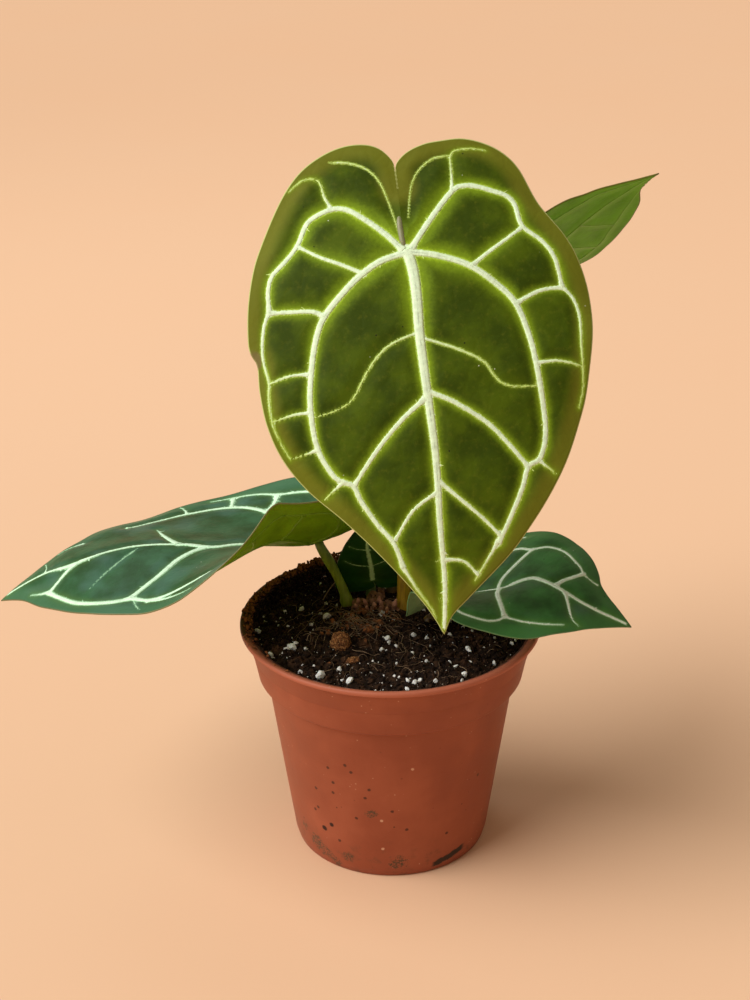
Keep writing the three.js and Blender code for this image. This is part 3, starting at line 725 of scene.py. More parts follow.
# How far from the axis crumbs, grains and fibres are strewn
CRUMB_REACH = 54.6
GRAIN_REACH = 53.5
FIBRE_REACH = 53
CRUMB_SIZES = (0.4, 0.5, 0.6, 0.8, 1.0, 1.6)
GRAIN_SIZES = (0.2, 0.22, 0.25, 0.3, 0.3, 0.35, 0.45, 0.6, 1.0)


def crumb_mesh(count):
    """Dark crumbs all over the mix and a few that were left on the lip at the back."""
    draw = random.Random(11)
    flat = scatter_places(draw, count, CRUMB_REACH)
    places = [on_mix(x, y, draw.uniform(-0.2, 0.35)) for x, y in flat]
    sizes = [draw.choice(CRUMB_SIZES) for _ in places]
    for _ in range(count // 6):
        angle = draw.uniform(*STUCK_ANGLES)
        height = draw.uniform(*STUCK_HEIGHTS)
        radius = RIM_INSIDE + RIM_LEAN * (height - STUCK_HEIGHTS[0])
        radius -= draw.uniform(0, 1.6) * (96.8 - height) / 6
        places.append((*turned_place(angle, radius), height))
        sizes.append(draw.uniform(0.5, 1.2))
    for i in range(count // 12):
        angle = draw.gauss(HEAP_ANGLE, HEAP_SPREAD) if i % 2 else draw.gauss(2.5, 0.5)
        heap = LIP_HEAP * math.exp(-((angle - HEAP_ANGLE) / HEAP_SPREAD) ** 2)
        radius = draw.uniform(*LIP_RADII)
        places.append((*turned_place(angle, radius), LIP_HEIGHT + heap * draw.random()))
        sizes.append(draw.uniform(0.45, 1.3))
    return points_mesh("crumbs", places, sizes)


def perlite_mesh(count):
    """White grains: those that the front shows, and smaller ones strewn between them."""
    draw = random.Random(5)
    places = [on_mix(x, y, size * 0.45) for x, y, size in PERLITE]
    sizes = [size for _, _, size in PERLITE]
    for x, y in scatter_places(draw, count, GRAIN_REACH):
        size = draw.choice(GRAIN_SIZES)
        places.append(on_mix(x, y, size * 0.3))
        sizes.append(size)
    return points_mesh("perlite", places, sizes)


FIBRE_STEP = 1.2
STRAW = [(-25.5, 18, 99), (-21, 19, 105), (-17.5, 19.5, 110)]


def fibre_chain(draw, x, y, length, rise, thick):
    """One fine root that wanders over the mix and lifts off it in the middle."""
    heading = draw.uniform(0, math.tau)
    count = max(5, int(length / FIBRE_STEP))
    points = []
    for i in range(count):
        share = i / (count - 1)
        lift = 0.3 + rise * math.sin(math.pi * share)
        points.append(on_mix(x, y, lift))
        heading += draw.uniform(-0.5, 0.5)
        x += FIBRE_STEP * math.cos(heading)
        y += FIBRE_STEP * math.sin(heading)
        if math.hypot(x, y) > FIBRE_REACH:
            heading = math.atan2(-y, -x)
    thickness = [thick * MM * (1 - 0.6 * i / count) for i in range(count)]
    return {"points": np.array(points), "thickness": thickness}


def fibre_mesh(count):
    """Root fibres, thickest round the crown and thin and few elsewhere, and one dry straw."""
    draw = random.Random(23)
    chains = []
    for i in range(count):
        near = i % 3 != 0
        spread = 17 if near else 34
        x = (MOUND[0] - 4 if near else 4) + draw.gauss(0, 0.55) * spread
        y = (0 if near else -12) + draw.gauss(0, 0.55) * spread
        if math.hypot(x, y) > 51:
            continue
        length = draw.uniform(6, 24)
        thick = draw.uniform(0.07, 0.19) if near else draw.uniform(0.05, 0.11)
        chains.append(fibre_chain(draw, x, y, length, draw.uniform(0.2, 1.9), thick))
    for x, y in scatter_places(draw, count // 4, 48):
        chains.append(fibre_chain(draw, x, -abs(y), draw.uniform(4, 10), draw.uniform(0.3, 1.6), 0.1))
    straw, _ = smooth_path([on_mix(-28, 17), *STRAW], 1)
    chains.append({"points": straw, "thickness": np.linspace(0.3, 0.14, len(straw)) * MM})
    return chain_mesh("fibres", chains)


def peat_material(mix):
    """Dark peat with brown crumbs and pale flecks, dry and brown on the lip, where it is also painted
    lighter as painted light.
    """
    make = Finish("peat")
    make.ground(mix.peat, shade(58, 38, 23), make.noise(2.2, 5), 0.4, 0.7)
    make.over(make.smooth_range(make.noise(9, 3), 0.55, 0.75), shade(84, 56, 36))
    make.over(make.smooth_range(make.cells(1.1), 0.2, 0.1), shade(132, 106, 82), 0.6)
    make.over(make.specks(2.3, 0.13, 0.08, (6, 3), 0.5, 0.6), shade(196, 184, 166))
    # Dry brown crust on the lip, painted lighter still to stand for the light that falls on it: painted
    # light
    dry = make.times(make.smooth_range(make.height(), 96.2, 97.2),
                     make.smooth_range(make.noise(2), 0.3, 0.6))
    make.over(dry, shade(168, 104, 60), 0.8)
    return make.surface(0.88, make.bump(make.noise(0.5, 4), 0.5, 0.7), specular_ior_level=0.15)


def perlite_material(mix):
    """Chalky white grains."""
    make = Finish("perlite_grain")
    make.ground(mix.perlite, shade(206, 198, 186), make.noise(0.9, 4), 0.45, 0.8)
    return make.surface(0.8, make.bump(make.cells(0.5), 0.25, 0.6), subsurface_weight=0.15)


def fibre_material(mix):
    """Dry pale roots with darker stretches."""
    make = Finish("root_fibre")
    make.ground(mix.fibre, shade(96, 74, 54), make.noise(6, 3), 0.35, 0.65)
    return make.surface(0.75, make.bump(make.noise(0.4, 2), 0.1, 0.5))


def bark_material(mix):
    """Orange-brown bark with dark clefts and pale grains."""
    make = Finish("bark_chunk")
    make.ground(mix.bark, shade(76, 44, 24), make.noise(0.8, 5, 0.7), 0.4, 0.6)
    make.over(make.smooth_range(make.cells(0.7), 0.3, 0.14), shade(206, 160, 104))
    return make.surface(0.9, make.bump(make.noise(0.6, 5), 0.6, 0.8), specular_ior_level=0.2)


BARK = {
    "bark_ball": {"place": (-19.6, -20, 96.4), "half": (4.3, 4.3, 5.0), "turn": 0.4, "rough": 0.2},
    "bark_chip": {"place": (-14.4, -31, 94.7), "half": (3.6, 2.1, 1.5), "turn": 0.2, "rough": 0.3},
    "bark_flake": {"place": (30, 24, 92.4), "half": (4.9, 3.1, 1.8), "turn": 1.1, "rough": 0.3},
}


def bark_chunk(name, spec, material):
    """A knobbly chunk of bark."""
    mesh = bmesh.new()
    bmesh.ops.create_icosphere(mesh, subdivisions=5, radius=1)
    turn = spec["turn"]
    for vertex in mesh.verts:
        way = vertex.co.normalized()
        rough = noise.fractal(way * 2.6 + Vector(spec["place"]), 0.7, 2.1, 5)
        knob = abs(noise.noise(way * 7 + Vector(spec["place"])))
        grown = way * (0.94 + spec["rough"] * (0.6 * rough + 0.5 * knob - 0.2))
        x, y, z = (a * b for a, b in zip(grown, spec["half"]))
        vertex.co = Vector((
            spec["place"][0] + x * math.cos(turn) - y * math.sin(turn),
            spec["place"][1] + x * math.sin(turn) + y * math.cos(turn),
            spec["place"][2] + z,
        )) * MM
    data = bpy.data.meshes.new(f"chunk_{name}")
    mesh.to_mesh(data)
    mesh.free()
    data.polygons.foreach_set("use_smooth", [True] * len(data.polygons))
    data.materials.append(material)
    return add_object(f"chunk_{name}", data)


# Blades. Each is laid out flat, with u across it and v from the stalk to the tip, on a leaf
# LENGTH_UNIT long, and then bent over its midrib in space.

LENGTH_UNIT = 145
WIDTH_UNIT = 62
RIB_SAMPLES = 601
# Behind the stalk: how far back a lobe's lift and its own fold take to set in
LIFT_RUN = 18
LOBE_RUN = 0.14
# Where the fold and the curl pass from their values at the stalk to those near the tip
BLEND_START = -0.1
BLEND_RUN = 0.7
WAVES = 3
WAVE_SHIFT = 1.7
# A vein widens where it meets another, unless its end is thinner than JOINING_WIDTH
WEB = 0.55
WEB_REACH = 1.9
JOINING_WIDTH = 0.45
THIN_START = 0.35
THIN_RUN = 6
# How far the glow beside a vein reaches near the stalk and beyond it, in millimetres, and the
# half width from which a vein glows in full
GLOW_REACH = (5.0, 1.8)
GLOW_RUN = 60
GLOW_WIDTH = 1.3
GLOW_FALL = 1.6
# Spacing of the points along a vein: for distances from it, for its ridge and for a spur's
FIELD_SPACING = 1.2
RIDGE_SPACING = 0.55
SPUR_SPACING = 0.4
# The blade thins towards its margin
MARGIN_THICKNESS = 0.45
THINNING_RUN = 9
# Panels rise over a run from the veins and over one from the margin, and pucker a little
PANEL_START = 0.4
PANEL_RUN = 6
PANEL_MARGIN = 7
PUCKER = 0.35
PUCKER_RATE = 0.07
FAR = 99.0
CHUNK = 6000

# Flat outline of each half, from the closed notch round the lobe to the tip
TIP = (0, LENGTH_UNIT)
BROAD_HALF = [(3.5, -24), (5.5, -34), (10, -41), (17, -42.5), (34, -36), (48, -19), (58, 3), (62, 25),
    (59, 52), (49, 80)]
NARROW_LOBE = [(1.5, -24), (0, -33), (-5, -39), (-20, -42.5), (-33, -38), (-45, -27), (-54, -9)]
OUTLINES = {
    "front": {
        "left": [
            (1.15, -24), (1.55, -32), (2.6, -36), (7, -41), (13, -43.2), (21, -43), (29, -40),
            (37, -34.5), (44, -26), (50, -15), (56, -1), (60, 15), (61.5, 28), (60.8, 33), (59, 37),
            (59.3, 47), (58, 60), (54, 73), (46, 86), (34, 99), (21, 115), (9.6, 131), (4.6, 139.5),
            (1.6, 146),
        ],
        "right": [
            (1.05, -24), (1.4, -32), (0, -35.5), (-4, -39), (-10, -41.5), (-16, -42.5), (-24, -43),
            (-32, -41), (-39, -37), (-45, -30), (-51, -16), (-60, -2), (-64, 9), (-66.3, 22), (-66, 37),
            (-63, 52), (-58, 69), (-46.8, 91), (-28.5, 114), (-9.6, 131), (-1.8, 138.5), (1.6, 146),
        ],
    },
    "left": {
        "left": [
            (3.5, -24), (5.5, -34), (10, -41), (17, -42.5), (34, -37), (49, -20), (60, 0), (65, 15),
            (66.5, 30), (66, 46), (62, 66), (53, 84), (38, 101), (22, 117), (9, 131), TIP,
        ],
        "right": [
            *NARROW_LOBE, (-63, 8), (-66.5, 33), (-63, 54), (-50, 79), (-38, 99), (-19, 122), (-8, 133),
            TIP,
        ],
    },
    "right": {
        "left": [*BROAD_HALF, (36, 97), (22, 113), (10, 129), TIP],
        "right": [
            *NARROW_LOBE, (-61, 8), (-63, 33), (-61, 53), (-55, 68), (-47, 83), (-38, 97), (-28, 107.5),
            (-19, 112.5), (-14, 119), (-8, 129), TIP,
        ],
    },
    "centre": {
        "left": [
            (3.5, -24), (5.5, -32), (12, -38), (24, -37), (36, -28), (44, -10), (47, 10), (47, 35),
            (44, 62), (37, 88), (26, 112), (12, 132), TIP,
        ],
        "right": [
            (1.5, -24), (0, -31), (-6, -37), (-18, -38), (-30, -32), (-39, -18), (-43, 0), (-43, 25),
            (-41, 52), (-36, 80), (-27, 106), (-13, 130), TIP,
        ],
    },
    "upper": {
        "left": [*BROAD_HALF, (38, 97), (27, 109), (16, 122), (7, 133), (3, 139), TIP],
        "right": [
            *NARROW_LOBE, (-61, 8), (-62, 33), (-57, 55), (-47, 78), (-38, 95), (-26, 112), (-17, 122),
            (-6, 129), (-2, 136), TIP,
        ],
    },
}

# The veins of each blade: half width at the start and at the end, and the flat path
NETS = {
    "front": [
        (2.1, 0.7, [(-0.4, 1), (-2.0, 9), (-2.4, 20), (-1.9, 34), (-2, 56), (-2, 79), (-0.5, 104),
                    (0, 126), (1.5, 143)]),
        (1.26, 0.79, [(0, 2), (9, 4.5), (16, 8.5), (23, 14), (32, 23), (36, 31), (39, 42), (41, 55),
                      (40.5, 70), (36, 81), (32, 84.3), (29, 86), (27, 92), (22, 101.5), (17, 109),
                      (14.5, 118.5)]),
        (0.62, 0.15, [(14.7, 118), (10.4, 127), (6, 134.5), (4, 139)]),
        (1.26, 0.79, [(-1, 2), (-11, 4), (-22, 8.5), (-31, 16), (-38, 25), (-41.5, 38), (-43, 52),
                      (-43.2, 73), (-40, 84), (-35, 87), (-32, 94), (-26, 105), (-21, 113)]),
        (0.65, 0.26, [(-21, 112), (-18, 116.5), (-13.6, 122.6), (-11, 126)]),
        (1.12, 0.74, [(1, 1), (8, -7), (16, -14), (21, -17.3), (26, -18), (32, -16), (36, -13),
                      (40, -5), (45, 1), (50, 5.5), (52, 11), (52.3, 18.5)]),
        (0.65, 0.17, [(52, 18), (55, 24), (56.5, 34), (55.3, 44), (56, 49), (56, 58), (54, 66),
                     (51, 73)]),
        (1.12, 0.74, [(-2, 1), (-10, -10.5), (-19, -21.5), (-24, -23.5), (-29, -22.8), (-34, -21),
                      (-39, -19), (-42, -15), (-44, -6.5), (-51, 0), (-55, 8), (-56.5, 20)]),
        (0.65, 0.17, [(-56.3, 19.5), (-60, 25), (-61.5, 33), (-60.5, 45), (-60, 53), (-59, 61),
                      (-56.5, 68)]),
        (0.73, 0.6, [(16, 9), (24, 4.5), (32, 0.5), (40, -5)]),
        (0.73, 0.6, [(-24, 9), (-33, 2), (-44, -6)]),
        (0.82, 0.73, [(32, 23), (36, 20.6), (44, 19.6), (52.3, 18.8)]),
        (0.77, 0.69, [(-38.5, 25.5), (-46, 21.6), (-51, 20.3), (-56.5, 20)]),
        (0.6, 0.39, [(40, 43), (47, 42.6), (55.3, 44.3)]),
        (0.6, 0.34, [(-43, 49.5), (-50, 49.4), (-56, 51), (-60, 53)]),
        (0.6, 0.3, [(41, 57), (48, 57), (56, 58.6)]),
        (0.5, 0.2, [(41, 71), (45, 72), (50, 73)]),
        (0.65, 0.21, [(32.5, 84), (36, 86.5), (40.5, 90)]),
        (0.65, 0.2, [(-39, 85), (-42, 88), (-45, 91)]),
        (0.45, 0.22, [(-1.9, 33), (7, 35.5), (13, 39), (19, 45.5), (25, 54), (31, 57.3), (40, 59)]),
        (0.5, 0.25, [(-2, 35), (-9, 38), (-17, 42), (-24, 47), (-28, 54), (-33, 57), (-42, 58)]),
        (0.9, 0.73, [(-1, 57.5), (7, 63), (15, 70), (22, 77.5), (29, 86)]),
        (0.9, 0.73, [(-2, 55), (-11, 60), (-22, 69), (-29, 78), (-35, 87)]),
        (0.69, 0.56, [(-1, 92), (5, 95), (10, 99), (16.5, 108)]),
        (0.73, 0.56, [(-2, 88), (-9, 95.5), (-16, 103), (-22, 110.5)]),
        (0.6, 0.45, [(-0.5, 117), (-6, 117.6), (-9, 119.5), (-12.5, 124)]),
        (0.55, 0.12, [(26, -18), (28.5, -23), (30.5, -30), (36, -31), (42, -27)]),
        (0.4, 0.1, [(26, -37), (20, -36.3), (14, -34), (9.5, -30), (6.5, -24), (4, -15), (2, -6)]),
        (0.55, 0.14, [(-19, -22), (-19.3, -29), (-20, -37), (-26, -38.6), (-33, -37.8)]),
        (0.36, 0.08, [(-19.8, -36), (-14, -35.6), (-9, -32.6), (-5.4, -28), (-3.4, -22), (-2, -12)]),
        (0.35, 0.12, [(-0.5, 116.5), (2.5, 117.4)]),
        (0.35, 0.12, [(0, 130.5), (2.6, 131.6)]),
    ],
    "left": [
        (1.68, 0.72, [(0, 1), (1.5, 20), (0, 34), (-3.5, 45), (1.5, 61), (4, 80), (0, 100), (-1, 111),
                      (2, 122), (1, 141)]),
        (1.32, 1.14, [(-4, 49), (-12, 59), (-24, 69), (-36, 81)]),
        (1.14, 0.84, [(-36, 81), (-35, 89), (-32, 97), (-26, 106), (-18, 114), (-12, 119)]),
        (0.84, 0.72, [(-1, 106), (-5, 111.5), (-12, 119)]),
        (0.72, 0.18, [(-11.5, 119), (-10, 124), (-8, 128.5)]),
        (1.14, 0.24, [(-36, 81), (-42, 74), (-49, 64), (-56, 54)]),
        (0.36, 0.12, [(-37, 80), (-43, 78.5), (-48, 77)]),
        (1.32, 0.66, [(0, 3), (16, 8), (30, 15), (41, 24), (49, 33), (52, 42), (51.5, 55), (48.5, 69),
                      (40, 86)]),
        (1.2, 0.36, [(1, 2), (10, -10), (24, -17), (36, -13), (47, -3), (53, 9), (55, 20), (59.5, 29),
                     (62, 38), (62.5, 47)]),
        (0.96, 0.84, [(54.5, 21), (48, 22), (41, 24.5)]),
        (0.84, 0.72, [(61, 38), (51.5, 38.5)]),
        (0.6, 0.36, [(51.3, 57), (57, 58), (62, 60)]),
        (1.44, 0.3, [(1.5, 60), (10, 64), (20, 67.6), (31, 70.5)]),
        (0.54, 0.18, [(24.5, 106), (22.5, 113), (19, 119)]),
        (0.54, 0.3, [(2, 121.5), (8, 122), (13, 123.5)]),
        (1.32, 0.96, [(0, 3), (-12, 5), (-26, 11), (-38, 24), (-45, 40), (-46, 56), (-43, 73)]),
        (1.2, 0.36, [(-1, 2), (-10, -13), (-19, -21), (-31, -21), (-40, -15), (-46, -4), (-54, 9),
                     (-59, 25), (-60, 40)]),
        (0.84, 0.72, [(-26, 11), (-34, 1), (-43, -8)]),
        (0.84, 0.72, [(-39, 26), (-48, 23), (-58, 22)]),
        (0.84, 0.72, [(17, 8.5), (28, 2), (39, -11)]),
        (0.3, 0.12, [(-0.4, 78), (-4.8, 83.6), (-10.8, 90), (-15.9, 95), (-20.3, 99.5)]),
    ],
    "right": [
        (1.93, 0.8, [(0, 1), (3, 20), (3.5, 38), (-2, 49), (-6.5, 60), (-5, 69), (-2, 80), (1, 90),
                     (3.5, 103), (3.5, 115), (2, 128), (0.5, 140)]),
        (1.58, 0.47, [(-1, 2), (-14, 4), (-28, 13), (-38, 26), (-41, 36), (-39, 45), (-42.5, 55),
                      (-41, 66), (-34, 79), (-26, 91), (-21, 96), (-18.5, 103), (-17, 110)]),
        (1.13, 1.09, [(4, 37), (-8, 35.5), (-22, 40), (-39, 46)]),
        (1.49, 1.25, [(-2.5, 81), (-9, 84), (-14, 89), (-21, 96)]),
        (1.49, 1.32, [(3, 40), (12, 43), (22, 50), (38, 63.5)]),
        (1.58, 0.4, [(1, 2), (16, 8), (32, 14), (45, 24), (51, 35), (50.5, 45), (48, 56), (44, 61.5),
                     (39, 65), (37, 76), (32, 90), (27, 99)]),
        (1.13, 0.31, [(1.5, 90), (9, 95), (19, 101.5), (23, 108)]),
        (1.41, 0.47, [(-1, 1), (-10, -13), (-19, -21), (-31, -21), (-42, -12), (-50, 2), (-54, 18),
                      (-56, 34)]),
        (1.41, 0.47, [(1, 1), (8, -8), (20, -15), (31, -15), (41, -6), (48, 6), (53, 20)]),
        (1.05, 0.94, [(-29, 14), (-38, 4), (-45, -7)]),
        (1.05, 0.94, [(20, 9), (30, 0), (39, -8)]),
    ],
    "upper": [
        (1.6, 0.8, [(0, 1), (0, 32), (-1, 56), (2, 80), (3, 104), (2, 126), (0, 142)]),
        (1.2, 0.6, [(0, 3), (16, 9), (31, 22), (39, 40), (41, 54), (40, 68), (31, 85), (24, 100),
                    (18, 112), (8, 127), (0, 141)]),
        (1.2, 0.6, [(0, 3), (-12, 5), (-26, 11), (-38, 26), (-43, 45), (-42, 62), (-36, 80), (-27, 93),
                    (-20, 103), (-10, 119), (0, 141)]),
        (1.1, 0.4, [(1, 2), (8, -8), (20, -15), (31, -15), (39, -8), (46, 2), (52, 15), (55, 30),
                    (56, 48)]),
        (1.1, 0.4, [(-1, 2), (-10, -13), (-19, -21), (-31, -21), (-40, -15), (-46, -4), (-53, 9),
                    (-57, 25), (-57, 42)]),
        (0.9, 0.7, [(-1, 55), (20, 68), (37, 76)]),
        (0.9, 0.7, [(0, 60), (-20, 72), (-38, 78)]),
        (0.8, 0.6, [(2, 88), (-9, 92), (-23, 99)]),
    ],
    "centre": [
        (2.6, 1.2, [(0, 1), (0, 32), (-1, 56), (-2, 80), (-1, 104), (0, 126), (0, 142)]),
        (0.7, 0.3, [(0, 34), (18, 46), (32, 66)]),
        (0.7, 0.3, [(0, 34), (-18, 46), (-32, 66)]),
        (0.6, 0.3, [(0, 74), (14, 84), (24, 98)]),
        (0.6, 0.3, [(0, 74), (-14, 84), (-24, 98)]),
    ],
}

# Every blade: the four points that steer its midrib, the way its face looks at the stalk and at
# the tip, its width, the fold at the midrib and the curl across each half, both at the stalk and
# towards the tip, the length of its lobes and their lift, the depth of its waves, the mesh's
# spokes and rings, and its kind.
BLADES = {
    "front": {
        "rib": [(6, 5, 248), (9, -26, 212), (18, -45, 166), (21, -52, 118)],
        "face": [(0, -0.93, 0.36), (0, -0.99, 0.12)],
        "width": 1, "lobes": 1, "lift": 0, "wave": 0.9,
        "left": {"fold": (0, 0), "curl": (-12, -12)},
        "right": {"fold": (0, 0), "curl": (-12, -12)},
        "spokes": 150, "rings": 100, "kind": "young",
    },
    "left": {
        "rib": [(-30, 14, 124), (-73, 19, 117), (-109, 8, 136), (-157, 9, 101)],
        "face": [(0, 0, 1), (0, -0.34, 0.94)],
        "width": 1.02, "lobes": 0.8, "lift": 30, "wave": 0.7,
        "left": {"fold": (-14, -24), "curl": (33, -1)},
        "right": {"fold": (33, 1), "curl": (16, 16)},
        "spokes": 120, "rings": 80, "kind": "grown",
    },
    "right": {
        "rib": [(26, 6, 102), (56, -2, 115), (61, -12, 122), (94, -17, 101)],
        "face": [(0, -0.24, 0.97), (0.09, -0.43, 0.9)],
        "width": 0.78, "lobes": 0.6, "lift": 0, "wave": 0.6, "lobe_fold": -14,
        "left": {"fold": (47, 16), "curl": (2, -9)},
        "right": {"fold": (-4, -15), "curl": (-12, -5)},
        "spokes": 100, "rings": 70, "kind": "shaded",
    },
    "upper": {
        "rib": [(34, 58, 205), (59, 56, 226), (82, 51, 251), (104, 45, 265)],
        "face": [(0.04, 0.5, 0.87), (0.21, 0.79, 0.57)],
        "width": 0.72, "lobes": 1, "lift": 0, "wave": 0.5,
        "left": {"fold": (0, -22), "curl": (0, 0)},
        "right": {"fold": (26, 20), "curl": (0, 0)},
        "spokes": 90, "rings": 60, "kind": "newest",
    },
    "centre": {
        "rib": [(-7, 22, 102.5), (-8, 22, 111), (-8.6, 22, 120), (-9.6, 22, 129)],
        "face": [(0.04, -1, 0.09), (0.06, -1, 0.09)],
        "width": 0.36, "lobes": 0.6, "lift": 0, "wave": 0.2,
        "left": {"fold": (5, 0), "curl": (0, 0)},
        "right": {"fold": (4, 22), "curl": (0, 0)},
        "spokes": 60, "rings": 36, "kind": "small",
    },
}


class BladeSurface:
    """The bent surface of one blade, from flat places to space, in millimetres."""

    def __init__(self, spec):
        self.spec = spec
        p0, p1, p2, p3 = np.array(spec["rib"], float)
        t = np.linspace(0, 1, RIB_SAMPLES)[:, None]
        s = 1 - t
        self.rib = s ** 3 * p0 + 3 * s * s * t * p1 + 3 * s * t * t * p2 + t ** 3 * p3
        self.run = 3 * s * s * (p1 - p0) + 6 * s * t * (p2 - p1) + 3 * t * t * (p3 - p2)
        steps = np.linalg.norm(np.diff(self.rib, axis=0), axis=1)
        self.arc = np.concatenate([[0], np.cumsum(steps)])
        self.length = self.arc[-1]
        self.scale = self.length / LENGTH_UNIT
        self.size = (self.scale + spec["width"]) / 2
        self.faces = unit(np.array(spec["face"], float))

    def along_rib(self, table, place):
        """A row of a table over the rib, at a distance from its foot."""
        return np.stack([np.interp(place, self.arc, table[:, k]) for k in range(3)], axis=-1)

    def bend(self, u, v):
        """Places in space for flat ones."""
        spec = self.spec
        down = np.where(v < 0, v * spec["lobes"], v) * self.scale
        place = np.clip(down, 0, self.length)
        share = (place / self.length)[..., None]
        along = unit(self.along_rib(self.run, place))
        facing = unit(lerp(self.faces[0], self.faces[1], share))
        across = unit(np.cross(along, facing))
        up = np.cross(across, along)
        blend = ease((down / self.length - BLEND_START) / BLEND_RUN)
        fold, curl = (self.bent(key, u, blend) for key in ("fold", "curl"))
        eased = math.radians(spec.get("lobe_fold", 0)) * ease(-down / (LOBE_RUN * self.length))
        fold = fold + np.where(u >= 0, eased, 0)
        curl = curl / (WIDTH_UNIT * spec["width"])
        reach = np.abs(u) * spec["width"]
        turned = fold + curl * reach
        straight = np.abs(curl) < 1e-6
        safe = np.where(straight, 1, curl)
        out = np.where(straight, np.cos(fold) * reach, (np.sin(turned) - np.sin(fold)) / safe)
        rise = np.where(straight, np.sin(fold) * reach, (np.cos(fold) - np.cos(turned)) / safe)
        back, raised = self.lobe_reach(np.maximum(-down, 0))
        rise = rise + raised + self.wave(u, v)
        sideways = np.sign(u) * out
        point = self.along_rib(self.rib, place)
        return point - along * back[..., None] + up * rise[..., None] + across * sideways[..., None]

    def bent(self, key, u, blend):
        """An angle of the half that each place lies on, in radians."""
        left, right = self.spec["left"][key], self.spec["right"][key]
        near, far = (np.where(u >= 0, left[k], right[k]) for k in (0, 1))
        return np.radians(lerp(near, far, blend))

    def lobe_reach(self, distance):
        """How far back and up a place lies that is some way behind the stalk."""
        lift = math.radians(self.spec["lift"])
        if lift == 0:
            return distance, np.zeros_like(distance)
        radius = LIFT_RUN / lift
        turned = np.minimum(distance / radius, lift)
        beyond = np.maximum(distance - LIFT_RUN, 0)
        back = radius * np.sin(turned) + beyond * math.cos(lift)
        return back, radius * (1 - np.cos(turned)) + beyond * math.sin(lift)

    def wave(self, u, v):
        """Soft waves that grow towards the margin."""
        turn = math.tau * WAVES * v / LENGTH_UNIT + np.where(u >= 0, 0, WAVE_SHIFT)
        return self.spec["wave"] * (u / WIDTH_UNIT) ** 2 * np.sin(turn)

    def normal(self, u, v, step=0.5):
        """The way that the upper face looks."""
        along = self.bend(u, v + step) - self.bend(u, v - step)
        across = self.bend(u + step, v) - self.bend(u - step, v)
        return unit(np.cross(across, along))

    def at(self, places, lift=0.0):
        """Places in space for flat ones, lifted off the surface."""
        u, v = places[:, 0], places[:, 1]
        point = self.bend(u, v)
        return point + self.normal(u, v) * np.broadcast_to(lift, u.shape)[:, None]


def distance_to(places, line):
    """Distance of every place to a line of points, and which of them is nearest."""
    gap = np.linalg.norm(places[:, None, :] - line[None, :, :], axis=2)
    nearest = gap.argmin(axis=1)
    return gap[np.arange(len(places)), nearest], nearest


def vein_line(vein, spacing, webbed=True):
    """The places along a vein and its half width there, wider where it meets another vein."""
    start, end, path = vein
    line, share = smooth_path(path, spacing)
    half = lerp(start, end, share)
    if webbed:
        run = share * np.linalg.norm(np.diff(line, axis=0), axis=1).sum()
        if start >= JOINING_WIDTH:
            half = half * (1 + WEB * np.exp(-(run / WEB_REACH) ** 2))
        else:
            half = half * ease(THIN_START + run / THIN_RUN)
        if end >= JOINING_WIDTH:
            half = half * (1 + WEB * np.exp(-((run[-1] - run) / WEB_REACH) ** 2))
    return line, half


class Blade:
    """One blade's surface, its veins and the soft relief between them."""

    def __init__(self, name, plant):
        self.name = name
        self.spec = BLADES[name]
        self.surface = BladeSurface(self.spec)
        self.size = self.surface.size
        self.veins = NETS[name]
        self.thickness = plant.blade / MM
        self.quilting = plant.quilting / MM
        self.margin = self.flat_margin()
        self.lines = [vein_line(vein, FIELD_SPACING, order > 0) for order, vein in enumerate(self.veins)]

    def flat_margin(self):
        """The margin from the notch round one lobe to the tip and back round the other."""
        halves = []
        for side in ("left", "right"):
            path, _ = smooth_path(OUTLINES[self.name][side], 1.0)
            pick = np.linspace(0, len(path) - 1, self.spec["spokes"] + 1)
            steps = np.arange(len(path))
            halves.append(np.stack([np.interp(pick, steps, path[:, k]) for k in (0, 1)], axis=1))
        return np.vstack([halves[0], halves[1][::-1][1:]])

    def fields(self, places):
        """For flat places: the gap to the nearest vein's edge, the glow beside veins and the gap
        to the margin, the gaps in real millimetres."""
        edge = np.full(len(places), FAR)
        glow = np.zeros(len(places))
        reach = lerp(*GLOW_REACH, ease(np.hypot(places[:, 0], places[:, 1]) / GLOW_RUN))
        for line, half in self.lines:
            gap, nearest = distance_to(places, line)
            beyond = (gap - half[nearest]) * self.size
            edge = np.minimum(edge, beyond)
            strength = min(half.max() / GLOW_WIDTH, 1) ** GLOW_FALL
            glow = np.maximum(glow, strength * np.exp(-np.maximum(beyond, 0) / reach))
        rim = np.full(len(places), FAR)
        for start in range(0, len(places), CHUNK):
            chunk = slice(start, start + CHUNK)
            rim[chunk] = distance_to(places[chunk], self.margin)[0] * self.size
        return edge, glow, rim

    def thickness_at(self, rim):
        """The thickness of the blade at a distance from its margin."""
        return lerp(MARGIN_THICKNESS, self.thickness, ease(rim / THINNING_RUN))

    def relief(self, places, edge, rim):
        """How far the panels bulge off the plain bent surface."""
        bulge = self.quilting * ease((edge + PANEL_START) / (PANEL_RUN * self.size))
        bulge = bulge * ease(rim / PANEL_MARGIN)
        spots = [Vector((u * PUCKER_RATE, v * PUCKER_RATE, 2)) for u, v in places]
        pucker = np.array([noise.noise(spot) for spot in spots])
        return (bulge + PUCKER * pucker) * min(self.size * 1.2, 1)


